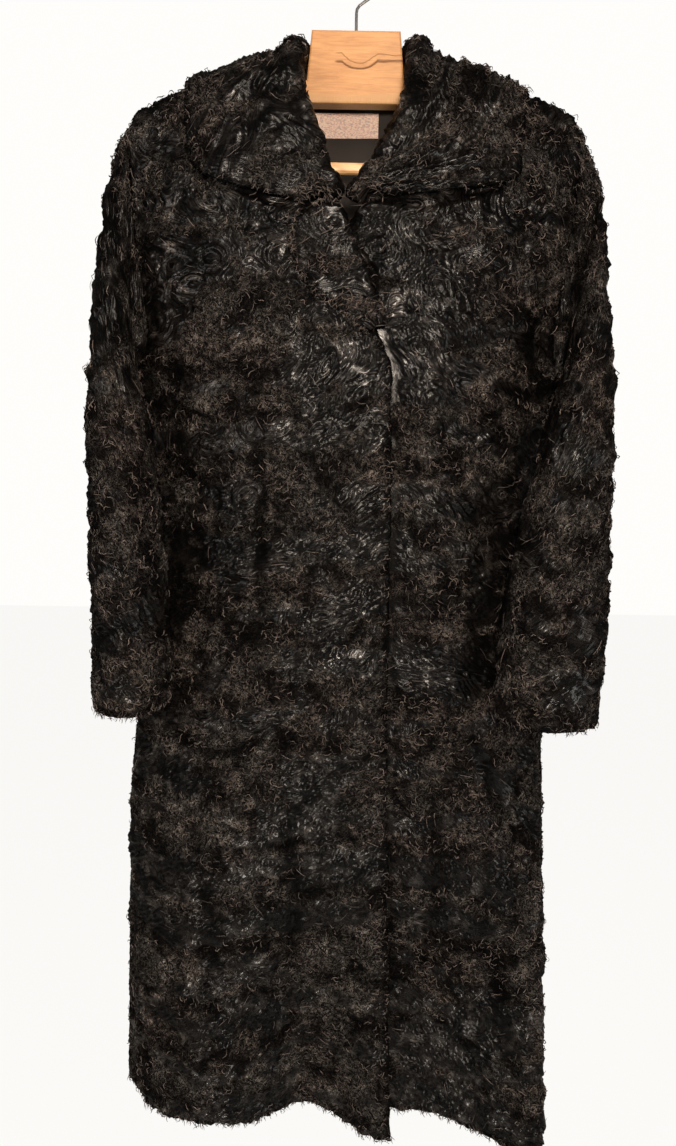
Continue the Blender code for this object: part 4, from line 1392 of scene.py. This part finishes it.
def dressLocks(name, panel, count, seed, rims):
    # tight locks on the curly pelts, longer ones on the smooth pelts, tufts where the fur
    # faces up, and a fringe at the rims
    calm = ease((panel["calm"] - 0.3) / 0.5)
    tight = panel["curly"] ** 1.5 * calm
    loose = (1 - panel["curly"]) * calm
    upward = np.clip(panel["normal"][..., 2] - 0.25, 0, 1) ** 1.5
    groups = [
        spreadLocks(panel, int(0.72 * count), locks["curl"], tight, seed, 1.2),
        spreadLocks(panel, int(0.10 * count), locks["combed"], loose, seed + 1, 0.25),
        spreadLocks(panel, int(0.05 * count), locks["tuft"], upward, seed + 9, 1.5),
    ]
    for k, (rim, share, droop, kind) in enumerate(rims):
        groups.append(rimLocks(panel, rim, int(share * count), locks[kind], seed + 2 + k, droop))
    made = addLocks(name, groups)
    print(name, len(made.data.polygons), "triangles")
    return made


# each piece's locks: how many, the seed, then for each rim its share, droop and kind
hemFringe = (hemRim, 0.12, 0.4, "fringe")
cuffFringe = (hemRim, 0.10, 0.3, "fringe")
lockSets = [
    ("front_right", rightFront, 2900, 1100, [hemFringe, (nearRim, 0.10, 0.0, "hidden")]),
    ("front_left", leftFront, 2900, 1200, [hemFringe]),
    ("back", back, 2300, 1300, [hemFringe, (nearRim, 0.12, 0.1, "hidden"), (farRim, 0.12, 0.1, "hidden")]),
    ("sleeve_right", rightArm, 1750, 1400, [cuffFringe]),
    ("sleeve_left", leftArm, 1750, 1500, [cuffFringe]),
    (
        "collar",
        collar,
        1350,
        1600,
        [(farRim, 0.22, 0.0, "hidden"), (topRim, 0.04, 0.0, "fringe"), (hemRim, 0.04, 0.0, "fringe")],
    ),
    ("lapel_right", lapel, 420, 1700, [(farRim, 0.30, 0.1, "edge")]),
]
cloth = {
    "front_right": dict(flat=(0.31, 1.20), area=0.31, held="hung", rests_on=["hanger_body"]),
    "front_left": dict(flat=(0.31, 1.20), area=0.31, held="hung", rests_on=["hanger_body"]),
    "back": dict(flat=(0.54, 1.20), area=0.60, held="hung", rests_on=["hanger_body"]),
    "sleeve_right": dict(flat=(0.33, 0.62), area=0.17, held="hung", rests_on=["hanger_body"]),
    "sleeve_left": dict(flat=(0.33, 0.62), area=0.17, held="hung", rests_on=["hanger_body"]),
    "collar": dict(flat=(0.80, 0.19), area=0.10, held="folded", rests_on=["front_right_fur", "back_fur"]),
    "lapel_right": dict(flat=(0.14, 0.10), area=0.0095, held="folded", rests_on=["front_right_fur"]),
}
for node, panel, count, seed, rims in lockSets:
    loose = finishPiece(dressLocks(node + "_locks", panel, count, seed, rims), None, "fur")
    finishPiece(panel["thing"], node, "fur", with_pieces=[loose], **cloth[node])
print("locks made")


liningSet = dict(
    x=0.120,
    top=-0.124,
    bottom=-0.420,
    below=0.032,
    depth=0.0072,
    wall=0.0010,
    wrinkle=0.0011,
    columns=81,
    rows=97,
)


def patchGrid(x, top, bottom, rows, depth):
    # a sheet on the inside of the back: x across, z down, y read from the back's surface
    z = mix(top[None, :], bottom, np.linspace(0.0, 1.0, rows)[:, None])
    xs = np.broadcast_to(x, z.shape)
    return np.stack([xs, skinY(xs, z, 1, -depth), z], axis=-1)


def liningPanel(s):
    # soft upright wrinkles, fading out towards the sides, on a flat sheet
    x = np.linspace(-s["x"], s["x"], s["columns"])
    top = np.minimum(shoulderHeight(x) - s["below"], s["top"])
    grid = patchGrid(x, top, s["bottom"], s["rows"], s["depth"])
    xs, z = grid[..., 0], grid[..., 2]
    wrinkles = noise(xs / 0.030, z / 0.120, 801) + 0.4 * noise(xs / 0.012, z / 0.060, 802)
    rim = ease(np.minimum(lengthAlong(grid, 1), s["x"] - np.abs(xs)) / 0.01)
    grid[..., 1] -= s["wrinkle"] * (wrinkles + 1.0) * rim
    inner = grid - np.array([0.0, s["wall"], 0.0])
    return buildShell("lining_satin", inner, grid, 1, False, [lining, lining], {})


satin = dict(flat=(0.24, 0.30), area=0.066, held="stretched", rests_on=["back_fur"])
finishPiece(liningPanel(liningSet), "lining_back", "lining", **satin)

labelSet = dict(
    left=-0.050,
    right=0.026,
    top=-0.136,
    bottom=-0.1595,
    depth=0.0090,
    wall=0.0006,
    rib=0.00025,
    columns=77,
    rows=25,
)


def labelPanel(s):
    # a ribbon with turned-in ends: raised edges, fine ribs and slightly lifted corners
    x = np.linspace(s["left"], s["right"], s["columns"])
    grid = patchGrid(x, np.full(len(x), s["top"]), s["bottom"], s["rows"], s["depth"])
    u = np.linspace(-1, 1, s["columns"])[None, :]
    v = np.linspace(-1, 1, s["rows"])[:, None]
    edge = ease((np.maximum(np.abs(u) ** 12, np.abs(v) ** 8) - 0.3) / 0.4)
    grid[..., 1] -= s["rib"] * (edge + 1.2 * noise(u * 5 + 0 * v, v * 2 + 0 * u, 811) + 1.2)
    grid[..., 2] += 0.0006 * np.sin(u * 3.1 + 0.5) * (v < 0) + 0.0005 * np.sin(u * 2.3) * (v > 0)
    inner = grid - np.array([0.0, s["wall"], 0.0])
    return buildShell("label_ribbon", inner, grid, 1, False, [labelFinish(), labelFinish()], {})


ribbon = dict(flat=(0.076, 0.0235), held="stretched", rests_on=["lining_satin"])
finishPiece(labelPanel(labelSet), "label", "label", **ribbon)

for node, finish, slot in [
    ("hanger_body", blockFinish(), "hanger_wood"),
    ("trouser_bar", barFinish(), "hanger_wood"),
    ("hook", wireFinish(), "hook_wire"),
]:
    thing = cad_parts[node]
    thing.material_slots[0].material = finish
print("lining, label and hanger finished")

studio = dict(
    floorHeight=-1.95,
    floorSize=14.0,
    skySeen=(1.0, 0.985, 0.965),
    skySeenStrength=1.0,
    skyStrength=0.10,
    floorSeen=0.94,
)


def plainFloor():
    size, z = studio["floorSize"] / 2, studio["floorHeight"]
    points = np.array([(-size, -size, z), (size, -size, z), (size, size, z), (-size, size, z)])
    paint = Paint("paleFloor", Roughness=0.9, Specular_IOR_Level=0.1)
    cloud = paint.fibre((1.5, 1.5, 1.5), 2.0)
    paint.feed(Base_Color=paint.blend(cloud, (0.86, 0.845, 0.83, 1.0), (0.90, 0.885, 0.87, 1.0)))
    # in view it is nearly as bright as the wall, while it gives the coat no light of its own
    direct = paint.node("LightPath", {}, {}, "Is Camera Ray")
    light = {"Color": (*studio["skySeen"], 1.0), "Strength": studio["skySeenStrength"]}
    glow = paint.node("Emission", {}, light)
    lit = Wire(paint, paint.shader.outputs[0])
    seen = paint.node("MixShader", {}, {0: direct * studio["floorSeen"], 1: lit, 2: glow})
    paint.tree.links.new(seen.socket, paint.tree.nodes["Material Output"].inputs["Surface"])
    floor = addMesh("floor", points, np.array([(0, 1, 2), (0, 2, 3)]), [paint.material])


def paleSky():
    # seen as a pale wall, while less light than that comes from it
    world = bpy.data.worlds.new("paleRoom")
    bpy.context.scene.world = world
    world.use_nodes = True
    tree = world.node_tree
    seen = tree.nodes["Background"]
    seen.inputs["Color"].default_value = (*studio["skySeen"], 1.0)
    seen.inputs["Strength"].default_value = studio["skySeenStrength"]
    lit = tree.nodes.new("ShaderNodeBackground")
    lit.inputs["Color"].default_value = (*studio["skySeen"], 1.0)
    lit.inputs["Strength"].default_value = studio["skyStrength"]
    path, both = tree.nodes.new("ShaderNodeLightPath"), tree.nodes.new("ShaderNodeMixShader")
    tree.links.new(path.outputs["Is Camera Ray"], both.inputs[0])
    tree.links.new(lit.outputs[0], both.inputs[1])
    tree.links.new(seen.outputs[0], both.inputs[2])
    tree.links.new(both.outputs[0], tree.nodes["World Output"].inputs["Surface"])


# softboxes: where each stands, what it points at, its size and power
softboxes = table(
    "x y z toX toY toZ width power warmth",
    [
        (0.35, -1.55, 0.75, 0.0, 0.0, -0.55, 0.6, 23.0, 0.88),
        (0.05, -1.30, -0.30, 0.0, 0.0, -0.60, 0.25, 14.0, 0.86),
        (-0.30, -1.25, -1.45, 0.0, 0.0, -1.0, 0.22, 7.5, 0.90),
        (-1.50, -1.30, -0.10, 0.0, 0.0, -0.75, 0.8, 11.0, 0.94),
        (1.40, -1.00, -1.00, 0.0, 0.0, -0.80, 0.7, 8.0, 0.95),
        (0.30, 1.70, 0.80, 0.0, 0.0, -0.60, 0.9, 26.0, 0.94),
    ],
)


def addSoftboxes():
    for k in range(len(softboxes["x"])):
        s = {name: float(values[k]) for name, values in softboxes.items()}
        data = bpy.data.lights.new("softbox%d" % k, "AREA")
        data.shape, data.size, data.energy = "DISK", s["width"], s["power"]
        data.color = (1.0, s["warmth"], s["warmth"] ** 2.2)
        lamp = bpy.data.objects.new(data.name, data)
        bpy.context.scene.collection.objects.link(lamp)
        aim(lamp, (s["x"], s["y"], s["z"]), (s["toX"], s["toY"], s["toZ"]))


def aim(thing, place, target):
    # turns a lamp at a place so that it looks at the target
    away = np.array(place) - np.array(target)
    flat = math.hypot(away[0], away[1])
    thing.location = place
    thing.rotation_euler = (math.atan2(flat, away[2]), 0.0, math.atan2(away[0], -away[1]))


cameraSet = dict(place=(-0.012, -0.990, -0.488), lens=28.3, sensor=36.0, tilt=82.0, roll=0.9)


def addCamera(s):
    data = bpy.data.cameras.new("camera")
    data.lens, data.sensor_width = s["lens"], s["sensor"]
    camera = bpy.data.objects.new("camera", data)
    bpy.context.scene.collection.objects.link(camera)
    camera.location = s["place"]
    camera.rotation_euler = (math.radians(s["tilt"]), math.radians(-s["roll"]), 0.0)
    bpy.context.scene.camera = camera


bpy.context.scene.view_settings.view_transform = "Standard"  # the plain contrast of a print
plainFloor()
paleSky()
addSoftboxes()
addCamera(cameraSet)
print("floor, light and camera set")
